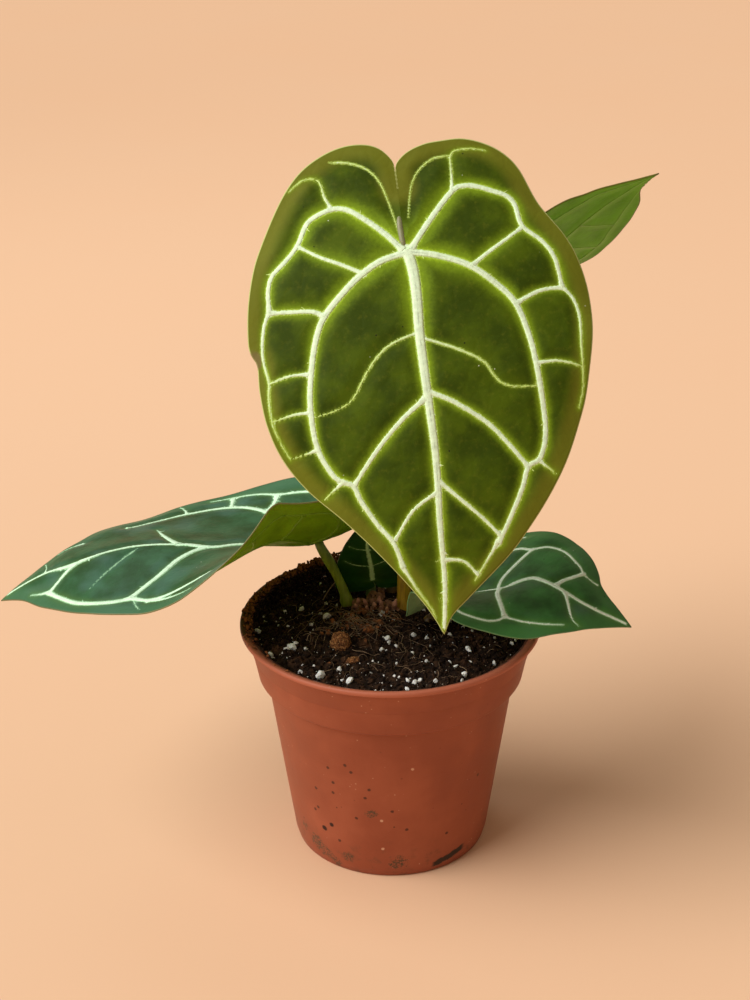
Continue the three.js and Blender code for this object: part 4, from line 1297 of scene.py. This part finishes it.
def blade_mesh(blade):
    """Both faces of a blade on spokes and rings from the stalk, closed round the margin."""
    edge_line = blade.margin
    rings = blade.spec["rings"]
    count = len(edge_line)
    shares = (np.arange(1, rings + 1) / rings)[:, None, None]
    flat = np.vstack([[(0.0, 0.0)], (shares * edge_line[None]).reshape(-1, 2)])
    vein_edge, glow, rim = blade.fields(flat)
    relief = blade.relief(flat, vein_edge, rim)
    upper = blade.surface.at(flat, relief)
    lower = blade.surface.at(flat, relief - blade.thickness_at(rim))
    half = len(flat)
    faces = []
    sides = []

    def at(face, k, i):
        """The vertex on a face, 0 the upper and 1 the lower, on ring k and spoke i."""
        return face * half + (0 if k == 0 else 1 + (k - 1) * count + i)

    for i in range(count - 1):
        faces += [(at(0, 0, 0), at(0, 1, i + 1), at(0, 1, i)),
                  (at(1, 0, 0), at(1, 1, i), at(1, 1, i + 1))]
        sides += [0, 1]
        for k in range(1, rings):
            faces.append((at(0, k, i), at(0, k, i + 1), at(0, k + 1, i + 1), at(0, k + 1, i)))
            faces.append((at(1, k, i), at(1, k + 1, i), at(1, k + 1, i + 1), at(1, k, i + 1)))
            sides += [0, 1]
        faces.append((at(0, rings, i), at(0, rings, i + 1), at(1, rings, i + 1), at(1, rings, i)))
        sides.append(1)
    last = count - 1
    faces += [(at(0, 0, 0), at(0, 1, 0), at(1, 1, 0)),
              (at(0, 0, 0), at(1, 1, 0), at(1, 0, 0)),
              (at(0, 1, last), at(0, 0, 0), at(1, 0, 0)),
              (at(0, 1, last), at(1, 0, 0), at(1, 1, last))]
    sides += [1, 1, 1, 1]
    for k in range(1, rings):
        faces.append((at(0, k, 0), at(0, k + 1, 0), at(1, k + 1, 0), at(1, k, 0)))
        faces.append((at(0, k + 1, last), at(0, k, last), at(1, k, last), at(1, k + 1, last)))
        sides += [1, 1]
    mesh = mesh_from(f"blade_{blade.name}", np.vstack([upper, lower]), faces)
    mesh.polygons.foreach_set("material_index", sides)
    both = [np.concatenate([field, field]) for field in (vein_edge, glow, rim)]
    for name, field in zip(("vein_edge", "glow", "rim"), both):
        store(mesh, name, field)
    places = np.column_stack([flat * blade.size, np.zeros(half)])
    store(mesh, "flat_place", np.vstack([places, places]))
    return mesh


def face_outwards(mesh):
    """Turns a closed mesh right way out."""
    work = bmesh.new()
    work.from_mesh(mesh)
    bmesh.ops.recalc_face_normals(work, faces=work.faces)
    if work.calc_volume(signed=True) < 0:
        bmesh.ops.reverse_faces(work, faces=work.faces)
    work.to_mesh(mesh)
    work.free()


# Half widths from which a vein bears spurs, and from which it shows under the blade
SPUR_WIDTH = 0.8
UNDER_WIDTH = 0.75
SPUR_LENGTHS = (1.2, 1.5, 1.9, 2.6)
# Spurs nearer to the margin are left out, and veins get thinner close to it
SPUR_MARGIN = 2.5
TAPER_RUN = 1.6
LEAST_HALF = 0.05
UNDER_SHARE = 0.9


def stray_veins(blade):
    """Short spurs that leave the larger veins at a slant."""
    draw = random.Random(f"strays {blade.name}")
    strays = []
    for start, _, path in blade.veins:
        if start < SPUR_WIDTH:
            continue
        line, _ = smooth_path(path, 1.0)
        travelled = draw.uniform(3, 9)
        while travelled < len(line) - 4:
            i = int(travelled)
            run = unit(line[i + 1] - line[i])
            slant = math.radians(draw.uniform(40, 80)) * draw.choice((-1, 1))
            way = np.array([run[0] * math.cos(slant) - run[1] * math.sin(slant),
                            run[0] * math.sin(slant) + run[1] * math.cos(slant)])
            length = draw.choice(SPUR_LENGTHS)
            bend = np.array([-way[1], way[0]]) * draw.uniform(-0.25, 0.25)
            points = [line[i], line[i] + way * length * 0.55 + bend * length * 0.3,
                      line[i] + way * length + bend * length]
            strays.append((0.5 * start, 0.1, points))
            travelled += draw.uniform(4, 13)
    return strays


def vein_chains(blade, under=False):
    """Chains for the recipe of raised veins, on the upper face or under the blade."""
    chains = []
    strays = [] if under else stray_veins(blade)
    for order, vein in enumerate([*blade.veins, *strays]):
        thin = order >= len(blade.veins)
        if under and vein[0] < UNDER_WIDTH:
            continue
        spacing = (SPUR_SPACING if thin else RIDGE_SPACING) / blade.size
        line, half = vein_line(vein, spacing, 0 < order < len(blade.veins))
        if len(line) < 3:
            continue
        edge, _, rim = blade.fields(line)
        if thin and rim.min() < SPUR_MARGIN:
            continue
        half = half * ease(rim / TAPER_RUN)
        lift = blade.relief(line, edge, rim)
        facing = blade.surface.normal(line[:, 0], line[:, 1])
        if under:
            lift = lift - blade.thickness_at(rim)
            facing = -facing
        chains.append({
            "points": blade.surface.at(line, lift),
            "thickness": np.maximum(half, LEAST_HALF) * blade.size * MM * (UNDER_SHARE if under else 1),
            "facing": facing,
            "weight": half,
            "flat_place": np.column_stack([line * blade.size, np.zeros(len(line))]),
        })
    return chains


def ridge_recipe():
    """A low rounded ridge with ragged edges along every chain, square to the blade's face."""
    make = Recipe("Raised veins", Crown="Float", Ragged="Float", Grain="Float", Sides="Int",
                  Material="Material")
    curve = make.add("GeometryNodeMeshToCurve", {"Mesh": make.given("Geometry")})
    feeds = {"Curve": curve, "Normal": make.attribute("facing", "FLOAT_VECTOR")}
    standing = make.add("GeometryNodeSetCurveNormal", feeds, mode="FREE")
    place = make.add("GeometryNodeInputPosition")
    feeds = {"Geometry": make.circle(), "Name": "across", "Value": make.axis(place, "Y")}
    marked = make.add("GeometryNodeStoreNamedAttribute", feeds)
    squash = make.add("ShaderNodeCombineXYZ", {"X": make.given("Crown"), "Y": 1.0, "Z": 1.0})
    flatter = make.add("ShaderNodeVectorMath", {0: place, 1: squash}, operation="MULTIPLY")
    profile = make.add("GeometryNodeSetPosition", {"Geometry": marked, "Position": flatter})
    return make.swept(standing, profile, make.given("Grain"), make.given("Ragged"))


# How each kind of blade looks, from above and from below
LOOKS = {
    "young": {
        "dark": shade(52, 70, 4), "margin": shade(116, 120, 32), "rim": shade(208, 218, 140),
        "pale": shade(190, 220, 96), "vein": shade(228, 252, 216), "vein_edge": shade(206, 236, 150),
        "under": shade(112, 138, 40), "under_vein": shade(176, 196, 110), "glow_share": 1.0,
        "rough": 0.62, "gloss": 0.1,
    },
    "grown": {
        "dark": shade(32, 70, 30), "margin": shade(64, 110, 74), "rim": shade(124, 116, 82),
        "pale": shade(148, 200, 156), "vein": shade(216, 252, 218), "vein_edge": shade(176, 226, 176),
        "under": shade(114, 162, 10), "under_vein": shade(110, 156, 16), "glow_share": 0.14,
        "rough": 0.4, "gloss": 0.18,
    },
    "shaded": {
        "dark": shade(38, 84, 34), "margin": shade(64, 118, 58), "rim": shade(92, 132, 84),
        "pale": shade(160, 212, 158), "vein": shade(240, 255, 236), "vein_edge": shade(200, 242, 198),
        "under": shade(150, 192, 140), "under_vein": shade(164, 204, 146), "glow_share": 0.15,
        "rough": 0.45, "gloss": 0.2,
    },
    "newest": {
        "dark": shade(54, 76, 8), "margin": shade(92, 108, 24), "rim": shade(106, 96, 44),
        "pale": shade(190, 216, 100), "vein": shade(232, 246, 220), "vein_edge": shade(206, 230, 150),
        "under": shade(100, 176, 18), "under_vein": shade(116, 182, 52), "glow_share": 0.8,
        "rough": 0.55, "gloss": 0.2,
    },
    "small": {
        "dark": shade(18, 58, 10), "margin": shade(26, 70, 16), "rim": shade(50, 84, 36),
        "pale": shade(56, 104, 44), "vein": shade(204, 240, 168), "vein_edge": shade(116, 172, 90),
        "under": shade(62, 100, 26), "under_vein": shade(92, 134, 60), "glow_share": 0.1, "rough": 0.5,
        "gloss": 0.2,
    },
}
# The bluish sheen painted in patches on old blades, a painted reflection of their satin shine: its
# colour and its share
PAINTED_SHEEN = {"grown": (shade(76, 116, 102), 0.45), "shaded": (shade(86, 116, 96), 0.4)}
PANELS = {"young": "young_panel", "newest": "young_panel", "grown": "old_panel"}
DIMMED_PANELS = {"shaded": shade(62, 122, 58), "small": shade(30, 92, 16)}
# The old scar on the margin of the front blade: place and radius
SCAR = ((60, 35, 0), 4.5)


def panel_colour(kind, plant):
    return getattr(plant, PANELS[kind]) if kind in PANELS else DIMMED_PANELS[kind]


def upper_material(name, kind, plant):
    """The veined face: velvety panels, a lime glow beside the veins, a pale rim and, on old blades, a
    painted bluish sheen.
    """
    look = LOOKS[kind]
    share = 0.85 * look["glow_share"]
    make = Finish(f"upper_face_{name}", along_surface=True)
    rim = make.field("rim")
    cloud = make.noise(17, 4)
    make.ground(look["dark"], panel_colour(kind, plant), cloud, 0.36, 0.66)
    make.over(make.smooth_range(make.noise(2.6, 5, 0.65), 0.5, 0.8), look["margin"], 0.3)
    # Painted sheen: bluish patches that stand for the satin shine of old blades
    if kind in PAINTED_SHEEN:
        sheen_tone, most = PAINTED_SHEEN[kind]
        make.over(make.smooth_range(make.noise(24, 2), 0.46, 0.66, 0.0, most), sheen_tone)
    outer = make.smooth_range(make.math("MULTIPLY_ADD", cloud, 3.0, rim), 11, 4.5)
    make.over(outer, look["margin"], 0.75)
    jitter = make.math("MULTIPLY_ADD", make.noise(1.3, 4, 0.7), 0.8, 0.6)
    uneven = make.math("MULTIPLY_ADD", make.noise(13, 2), 1.1, 0.45)
    lit = make.times(make.times(make.field("glow"), jitter), uneven)
    make.over(make.smooth_range(lit, 0.12, 0.75), dimmed(plant.glow, 0.62), share)
    make.over(make.smooth_range(lit, 0.7, 1.05), plant.glow, share)
    fray = make.math("MULTIPLY_ADD", make.noise(0.55, 3, 0.7), 1.5, -0.75)
    wandering = make.math("ADD", make.field("vein_edge"), fray)
    make.over(make.smooth_range(wandering, 0.7, 0.1, 0.0, 0.6), look["pale"])
    make.over(make.smooth_range(wandering, 0.2, -0.2), look["vein"])
    make.over(make.smooth_range(rim, 0.5, 0.2, 0.0, 0.75), look["rim"])
    if kind == "young":
        make.over(make.ball(*SCAR, 0.5), shade(122, 104, 70), 0.7)
    make.over(make.specks(5.2, 0.07, 0.045, (11, 1), 0.56, 0.62), shade(24, 26, 16))
    make.over(make.specks(6.4, 0.045, 0.025, (19, 1), 0.52, 0.6), shade(214, 220, 196))
    velvet = make.bump(make.noise(0.55, 3), 0.08, 0.5)
    quilting = make.smooth_range(make.cells(5.5, "DISTANCE_TO_EDGE"), 0.0, 0.2)
    relief = make.bump(quilting, 0.16, 0.25, under=velvet)
    return make.surface(look["rough"], relief, specular_ior_level=look["gloss"])


def lower_material(name, kind):
    """The paler underside with faint veins that show through."""
    look = LOOKS[kind]
    make = Finish(f"lower_face_{name}", along_surface=True)
    make.ground(dimmed(look["under"], 0.7), look["under"], make.noise(14, 4), 0.3, 0.7)
    near = make.math("MULTIPLY_ADD", make.noise(1.5, 3), 2.0, make.field("vein_edge"))
    make.over(make.smooth_range(near, 5.0, 0.6), look["under_vein"], 0.5)
    make.over(make.smooth_range(make.field("rim"), 0.7, 0.25, 0.0, 0.85), look["rim"])
    make.over(make.specks(6, 0.09, 0.05, (13, 1), 0.54, 0.6), shade(52, 56, 20))
    fine = make.bump(make.noise(0.6, 3), 0.06, 0.5)
    net = make.smooth_range(make.cells(4.5, "DISTANCE_TO_EDGE"), 0.0, 0.16, 1.0, 0.0)
    return make.surface(0.5, make.bump(net, 0.1, 0.4, under=fine), subsurface_weight=0.1,
                        subsurface_scale=1.5 * MM, specular_ior_level=0.25)


def vein_material(kind, plant):
    """Pale veins with a thin grey line along the middle of the widest."""
    look = LOOKS[kind]
    make = Finish(f"vein_{kind}", along_surface=True)
    across = make.math("ABSOLUTE", make.field("across"))
    weight = make.field("weight")
    pale = plant.vein if kind == "young" else look["vein"]
    make.ground(pale, dimmed(pale, 0.8), make.noise(2.4, 4), 0.4, 0.8)
    make.over(make.smooth_range(across, 0.7, 1.0, 0.0, 0.6), look["vein_edge"])
    make.over(make.smooth_range(weight, 0.6, 0.3, 0.0, 0.85), look["pale"])
    groove = make.times(make.smooth_range(across, 0.24, 0.04), make.smooth_range(weight, 0.95, 1.3))
    broken = make.smooth_range(make.noise(4, 3), 0.4, 0.65, 0.1, 0.6)
    make.over(make.times(groove, broken), shade(150, 168, 146))
    return make.surface(0.55, make.bump(make.noise(0.45, 4), 0.12, 0.6))


def rib_material(name, kind):
    """Ribs under a blade."""
    rib = LOOKS[kind]["under_vein"]
    make = Finish(f"rib_{name}", along_surface=True)
    make.ground(rib, dimmed(rib, 0.75), make.noise(3, 4), 0.35, 0.7)
    return make.surface(0.5, make.bump(make.noise(0.5, 3), 0.1, 0.5))


# Stalks: points from the foot towards the blade, radius at the foot and at the top, and how far
# under the blade the stalk bends to meet it

PETIOLES = {
    "front": ([(4.5, 9, 80), (5.5, 11, 96), (6, 17, 150), (6, 21, 205), (6, 19, 232)], 2.9, 2.0, 9),
    "left": ([(-15.5, 14, 80), (-17.6, 14.2, 97), (-21.6, 14.3, 109)], 3.1, 1.8, 2.5),
    "right": ([(10.5, 2, 82), (14, 3, 92), (20, 4.5, 96)], 2.0, 1.6, 9),
    "upper": ([(0, 26.5, 80), (1.5, 28, 96), (12, 39, 130), (27, 50, 178)], 2.5, 1.7, 9),
    "centre": ([(-8, 25, 82), (-8, 26, 92)], 1.8, 1.4, 9),
}
# Colour of each stalk's lower half, and how much brown skin is on its foot
STALK_FEET = {
    "front": (shade(196, 158, 30), 0.35),
    "left": (shade(142, 166, 40), 0.15),
    "right": (shade(112, 104, 34), 0.7),
    "upper": (shade(104, 112, 34), 0.8),
    "centre": (shade(132, 164, 92), 0.1),
}
BLADE_SEAT = 0.6
# Where each stalk meets its blade, on the flat blade's midline
SEAT_PLACES = {"front": 0.8, "left": -2.6, "right": 0.8, "upper": 0.8, "centre": 0.8}
SHEATH_TOP = 101
SHEATH_SWELL = 0.35
SHEATH_RUN = 4
# The joint: how much it swells, how far it lies under the blade, and its half length
JOINT_SWELL = 0.35
JOINT_PLACE = 9
JOINT_RUN = 6
# The swollen top of the front stalk shows as a grey strip in the notch of its blade
NOTCH_STRIP = [(0.3, -0.5), (0.9, -3), (1.2, -6), (1.4, -9), (1.4, -13)]
NOTCH_STRIP_RADIUS = 1.25


def petiole_chain(name, surface):
    """A stalk's middle line and thickness, swollen where it bends to meet the blade."""
    points, foot, top, depth = PETIOLES[name]
    under = np.array([[0.0, SEAT_PLACES[name]]])
    bend = surface.at(under, -depth * max(surface.scale, 0.5))[0]
    seat = surface.at(under, -BLADE_SEAT)[0]
    line, share = smooth_path([*points, bend, seat], 1.0)
    remaining = (1 - share) * len(line)
    swollen = np.exp(-((remaining - JOINT_PLACE) / JOINT_RUN) ** 2)
    sheath = SHEATH_SWELL * ease((SHEATH_TOP - line[:, 2]) / SHEATH_RUN)
    thickness = lerp(foot, top, ease(share * 1.6)) + JOINT_SWELL * swollen + sheath
    return {"points": line, "thickness": thickness * MM, "swollen": swollen}


def notch_chain(surface):
    """The top of a stalk where it shows between the lobes of the blade."""
    flat, share = smooth_path(NOTCH_STRIP, 0.5)
    radius = NOTCH_STRIP_RADIUS * np.sqrt(np.clip(1 - (2 * share - 1) ** 4, 0.04, 1))
    return {"points": surface.at(flat, -0.35), "thickness": radius * MM, "swollen": np.ones(len(flat))}


def stalk_material(name, plant):
    """Smooth green stalk with a brown skin at its foot, fine streaks and pale specks."""
    foot, skin_share = STALK_FEET[name]
    make = Finish(f"stalk_skin_{name}")
    height = make.height()
    streak = make.noise(1.1, 3, place=make.stretched(0.1))
    make.ground(foot, dimmed(foot, 0.6), streak, 0.3, 0.7)
    low = make.tone
    make.ground(plant.stalk, dimmed(plant.stalk, 0.6), streak, 0.3, 0.7)
    make.over(make.smooth_range(height, 134, 102), low)
    uneven = make.math("MULTIPLY_ADD", make.noise(2.2, 3), 8.0, height)
    make.over(make.smooth_range(uneven, 105, 98), plant.sheath, skin_share)
    if name == "front":
        make.over(make.field("swollen"), shade(142, 140, 108), 0.8)
    make.over(make.smooth_range(make.cells(1.6), 0.16, 0.08), shade(166, 176, 100), 0.4)
    return make.surface(0.42, make.bump(streak, 0.2, 0.4), subsurface_weight=0.08,
                        subsurface_scale=2 * MM)


# Crown

CROWN_ARMS = [
    [(-18, 13.5, 91), (-6, 13.5, 92.2), (7, 10, 91)],
    [(-6, 14, 91), (-5.5, 20, 91), (-3, 27, 90.5)],
]
RHIZOME_RADIUS = 4.5
NUBS = 46
# Root tips on the crown: place and height
STUBS = [
    (-14.5, 10, 5.0), (-12.6, 8.6, 6.2), (-11, 10.5, 4.6), (-9.2, 9, 5.8), (-7.4, 8.4, 4.4),
    (-5.6, 9.6, 6.0), (-3.8, 8.4, 5.2), (-2.2, 9.8, 6.8), (-0.4, 8.8, 5.0), (0.8, 10, 8.4),
    (-13.4, 12.5, 7.0), (-8.6, 12.5, 7.4), (-5, 13, 7.6),
]
STUB_FOOT = 93.0


def crown_arm_mesh():
    """The two creeping arms of the rhizome, ringed by old leaf scars."""
    chains = []
    for arm in CROWN_ARMS:
        line, share = smooth_path(arm, 0.6)
        ends = np.sqrt(np.clip(1 - (2 * share - 1) ** 8, 0.1, 1))
        rings = 1 + 0.05 * np.sin(share * len(line) * 0.6 * 2.2)
        chains.append({"points": line, "thickness": RHIZOME_RADIUS * MM * ends * rings})
    return chain_mesh("crown_arms", chains)


def nub_mesh():
    """Root nubs on top of the crown's arms."""
    draw = random.Random(31)
    places = []
    sizes = []
    for i in range(NUBS):
        line, _ = smooth_path(CROWN_ARMS[i % 3 == 2], 0.5)
        x, y, z = line[draw.randrange(len(line))]
        angle = math.radians(draw.uniform(25, 155))
        off = RHIZOME_RADIUS + 0.3
        if i % 3 == 2:
            x += off * math.cos(angle)
        else:
            y -= off * math.cos(angle)
        places.append((x, y, z + off * math.sin(angle)))
        sizes.append(draw.uniform(0.8, 1.6))
    return points_mesh("nubs", places, sizes)


def stub_chains():
    """Short blunt root tips that stand up from the crown."""
    draw = random.Random(7)
    chains = []
    for x, y, height in STUBS:
        foot = np.array([x, y, STUB_FOOT])
        lean = np.array([draw.uniform(-0.3, 0.3), draw.uniform(-0.5, 0.1), 1.0])
        line, share = smooth_path([foot, foot + lean * height * 0.6, foot + lean * height], 0.35)
        blunt = np.sqrt(np.clip(1 - np.maximum(share * 1.35 - 0.35, 0) ** 3, 0.12, 1))
        chains.append({"points": line, "thickness": draw.uniform(0.9, 1.3) * MM * blunt})
    return chains


def crown_material():
    """Brown rough skin, pinkish on the tips of the roots."""
    make = Finish("crown_skin")
    make.ground(shade(172, 122, 92), shade(104, 68, 46), make.noise(2.4, 4), 0.35, 0.65)
    make.over(make.smooth_range(make.noise(1.1, 3), 0.58, 0.72), shade(196, 148, 122))
    make.over(make.smooth_range(make.height(), 97.4, 99.6, 0.0, 0.8), shade(222, 160, 134))
    return make.surface(0.75, make.bump(make.noise(0.8, 4), 0.5, 0.7))


# Stage

TARGET = (-5.8, 0, 148.4)
CAMERA_DISTANCE = 700
CAMERA_ELEVATION = 24.4
CAMERA_ROLL = 0.4
SENSOR_WIDTH = 36
FLOOR_RADIUS = 5000


def floor_material(stage):
    """Plain warm paper."""
    make = Finish("floor_paper")
    make.tone = make.blend(make.times(make.noise(260, 4), 0.35), stage.floor, shade(238, 190, 150))
    return make.surface(0.85, None, specular_ior_level=0.2)


def add_lamp(name, kind, power, colour, way):
    """A lamp that shines along a way."""
    light = bpy.data.lights.new(name, kind)
    light.energy = power
    light.color = colour
    lamp = add_object(name, light)
    lamp.rotation_euler = way.to_track_quat("-Z", "Y").to_euler()
    return lamp


def sun_light(name, azimuth, elevation, spread, power, colour):
    """A soft sun, with its azimuth counted from the front towards the left, in degrees."""
    side, up = math.radians(azimuth), math.radians(elevation)
    way = Vector((math.sin(side) * math.cos(up), math.cos(side) * math.cos(up), -math.sin(up)))
    add_lamp(name, "SUN", power, colour, way).data.angle = math.radians(spread)


def area_light(name, place, size, power, colour):
    """A round soft light that faces the plant."""
    lamp = add_lamp(name, "AREA", power, colour, Vector(TARGET) * MM - Vector(place))
    lamp.data.shape = "DISK"
    lamp.data.size = size
    lamp.location = place


def add_camera(stage):
    """The view from a little above the front."""
    data = bpy.data.cameras.new("view")
    data.lens = stage.lens / MM
    data.sensor_width = SENSOR_WIDTH
    data.clip_start = 0.01
    data.clip_end = 100
    camera = add_object("view", data)
    up = math.radians(CAMERA_ELEVATION)
    back = Vector((0, -math.cos(up), math.sin(up)))
    camera.location = (Vector(TARGET) + back * CAMERA_DISTANCE) * MM
    turn = (-back).to_track_quat("-Z", "Y")
    roll = Quaternion((0, 0, 1), math.radians(-CAMERA_ROLL))
    camera.rotation_euler = (turn @ roll).to_euler()
    bpy.context.scene.camera = camera


# Operators: one for each piece or group of like pieces


class MakePot(bpy.types.Operator):
    """Turn the pot's wall, drill its drain holes and give it its plastic"""

    bl_idname = "anthurium.pot"
    bl_label = "Pot"

    def execute(self, context):
        pot = context.scene.anthurium_pot
        piece = add_object("pot_shell", turned_mesh("pot_shell", pot_profile(pot), pot.sides))
        face_outwards(piece.data)
        drill_drain_holes(piece)
        if not piece.data.polygons:
            raise RuntimeError("the pot came out empty")
        piece.data.materials.clear()
        piece.data.materials.append(plastic_material(pot))
        hand_over(piece, "pot", "pot")
        return {"FINISHED"}


class MakeMix(bpy.types.Operator):
    """Fill the pot with crumbly mix and scatter crumbs and perlite on it"""

    bl_idname = "anthurium.mix"
    bl_label = "Potting mix"

    def execute(self, context):
        mix = context.scene.anthurium_mix
        peat, chalk = peat_material(mix), perlite_material(mix)
        body = add_object("mix_body", mix_mesh())
        face_outwards(body.data)
        body.data.materials.append(peat)
        hand_over(body, "soil", "soil")
        lumps = scatter_recipe()
        crumbs = grow("mix_crumbs", crumb_mesh(mix.crumbs), lumps, Smallest=0.55 * MM, Largest=1.25 * MM,
                      Flatness=0.6, Roughness=0.35 * MM, Detail=1, Seed=3, Material=peat)
        hand_over(crumbs, "soil")
        grains = grow("perlite", perlite_mesh(mix.grains), lumps, Smallest=0.8 * MM, Largest=1.1 * MM,
                      Flatness=0.65, Roughness=0.75 * MM, Detail=2, Seed=8, Material=chalk)
        hand_over(grains, "soil")
        return {"FINISHED"}


class MakeFibres(bpy.types.Operator):
    """Lay fine root fibres and a straw on the mix"""

    bl_idname = "anthurium.fibres"
    bl_label = "Root fibres"

    def execute(self, context):
        mix = context.scene.anthurium_mix
        piece = grow("root_fibres", fibre_mesh(mix.fibres), tube_recipe(), Sides=5, Lumps=0.06 * MM,
                     Lump_Size=1.5 * MM, Material=fibre_material(mix))
        hand_over(piece, "crown")
        return {"FINISHED"}


class MakeBark(bpy.types.Operator):
    """Shape the chunks of bark that lie on the mix"""

    bl_idname = "anthurium.bark"
    bl_label = "Bark"

    def execute(self, context):
        material = bark_material(context.scene.anthurium_mix)
        for name, spec in BARK.items():
            hand_over(bark_chunk(name, spec, material), "bark", name)
        return {"FINISHED"}


class MakeCrown(bpy.types.Operator):
    """Grow the rhizome and its root nubs"""

    bl_idname = "anthurium.crown"
    bl_label = "Crown"

    def execute(self, context):
        material = crown_material()
        arms = grow("crown_arms", crown_arm_mesh(), tube_recipe(), Sides=28, Lumps=0.7 * MM,
                    Lump_Size=3 * MM, Material=material)
        nubs = grow("crown_nubs", nub_mesh(), scatter_recipe(), Smallest=0.9 * MM, Largest=1.3 * MM,
                    Flatness=0.75, Roughness=0.3 * MM, Detail=3, Seed=4, Material=material)
        stubs = grow("crown_stubs", chain_mesh("stub_lines", stub_chains()), tube_recipe(), Sides=16,
                     Lumps=0.25 * MM, Lump_Size=1.6 * MM, Material=material)
        piece = joined("rhizome", [arms, nubs, stubs])
        piece.data.polygons.foreach_set("use_smooth", [True] * len(piece.data.polygons))
        hand_over(piece, "crown", "crown")
        return {"FINISHED"}


class MakeStalks(bpy.types.Operator):
    """Grow the five petioles from the mix to their blades"""

    bl_idname = "anthurium.stalks"
    bl_label = "Petioles"

    def execute(self, context):
        tubes = tube_recipe()
        for name in PETIOLES:
            surface = BladeSurface(BLADES[name])
            chains = [petiole_chain(name, surface)]
            if name == "front":
                chains.append(notch_chain(surface))
            skin = stalk_material(name, context.scene.anthurium_plant)
            piece = grow(f"stalk_{name}", chain_mesh(f"line_{name}", chains), tubes, Sides=28,
                         Lumps=0.12 * MM, Lump_Size=9 * MM, Material=skin)
            hand_over(piece, "petiole", f"petiole_{name}")
        return {"FINISHED"}


class MakeBlades(bpy.types.Operator):
    """Bend the five blades and give each its velvety face and paler underside"""

    bl_idname = "anthurium.blades"
    bl_label = "Leaf blades"

    def execute(self, context):
        plant = context.scene.anthurium_plant
        for name, spec in BLADES.items():
            mesh = blade_mesh(Blade(name, plant))
            face_outwards(mesh)
            mesh.materials.append(upper_material(name, spec["kind"], plant))
            mesh.materials.append(lower_material(name, spec["kind"]))
            slot = "young_leaf" if spec["kind"] in ("young", "newest") else "old_leaf"
            hand_over(add_object(f"blade_{name}", mesh), slot, f"leaf_{name}")
        return {"FINISHED"}


class MakeVeins(bpy.types.Operator):
    """Raise the vein net over each blade and the ribs under it"""

    bl_idname = "anthurium.veins"
    bl_label = "Vein nets"

    def execute(self, context):
        plant = context.scene.anthurium_plant
        ridges = ridge_recipe()
        for name, spec in BLADES.items():
            kind = spec["kind"]
            blade = Blade(name, plant)
            lines = chain_mesh(f"net_lines_{name}", vein_chains(blade))
            ragged = plant.ragged * min(blade.size, 1)
            net = grow(f"net_{name}", lines, ridges, Crown=0.26, Ragged=ragged, Grain=0.7 * MM,
                       Sides=10, Material=vein_material(kind, plant))
            hand_over(net, "vein", f"veins_{name}")
            lines = chain_mesh(f"rib_lines_{name}", vein_chains(blade, under=True))
            ribs = grow(f"ribs_{name}", lines, ridges, Crown=0.35, Ragged=0.05 * MM, Grain=3 * MM,
                        Sides=8, Material=rib_material(name, kind))
            hand_over(ribs, "vein")
        return {"FINISHED"}


class MakeStage(bpy.types.Operator):
    """Lay the pale floor, hang the soft lights and place the camera"""

    bl_idname = "anthurium.stage"
    bl_label = "Stage"

    def execute(self, context):
        stage = context.scene.anthurium_stage
        mesh = bmesh.new()
        bmesh.ops.create_circle(mesh, cap_ends=True, segments=64, radius=FLOOR_RADIUS * MM)
        data = bpy.data.meshes.new("floor")
        mesh.to_mesh(data)
        mesh.free()
        data.materials.append(floor_material(stage))
        add_object("floor", data)
        sun_light("key", azimuth=75, elevation=43, spread=60, power=stage.key, colour=(1, 0.98, 0.95))
        area_light("sheen", place=(-0.4, 0.75, 0.85), size=0.6, power=1.3, colour=(0.8, 0.92, 1))
        world = bpy.data.worlds.new("studio")
        world.use_nodes = True
        background = world.node_tree.nodes["Background"]
        background.inputs["Color"].default_value = (*stage.sky, 1)
        background.inputs["Strength"].default_value = stage.fill
        context.scene.world = world
        context.scene.view_settings.view_transform = "Standard"
        add_camera(stage)
        return {"FINISHED"}


OPERATORS = [
    MakePot, MakeMix, MakeFibres, MakeBark, MakeCrown, MakeStalks, MakeBlades, MakeVeins, MakeStage,
]
SETTINGS = {
    "anthurium_pot": PotSettings,
    "anthurium_mix": MixSettings,
    "anthurium_plant": PlantSettings,
    "anthurium_stage": StageSettings,
}


class AnthuriumPanel(bpy.types.Panel):
    """Sizes, colours and steps of the potted plant"""

    bl_idname = "VIEW3D_PT_anthurium"
    bl_label = "Potted anthurium"
    bl_space_type = "VIEW_3D"
    bl_region_type = "UI"
    bl_category = "Anthurium"

    def draw(self, context):
        for name, group in SETTINGS.items():
            box = self.layout.box()
            for prop in group.__annotations__:
                box.prop(getattr(context.scene, name), prop)
        column = self.layout.column(align=True)
        for operator in OPERATORS:
            column.operator(operator.bl_idname)


def register():
    for group in SETTINGS.values():
        bpy.utils.register_class(group)
    for name, group in SETTINGS.items():
        setattr(bpy.types.Scene, name, PointerProperty(type=group))
    for operator in OPERATORS:
        bpy.utils.register_class(operator)
    bpy.utils.register_class(AnthuriumPanel)


def unregister():
    bpy.utils.unregister_class(AnthuriumPanel)
    for operator in reversed(OPERATORS):
        bpy.utils.unregister_class(operator)
    for name in SETTINGS:
        delattr(bpy.types.Scene, name)
    for group in reversed(SETTINGS.values()):
        bpy.utils.unregister_class(group)


def main():
    register()
    for operator in OPERATORS:
        group, _, step = operator.bl_idname.partition(".")
        getattr(getattr(bpy.ops, group), step)()


if __name__ == "__main__":
    main()
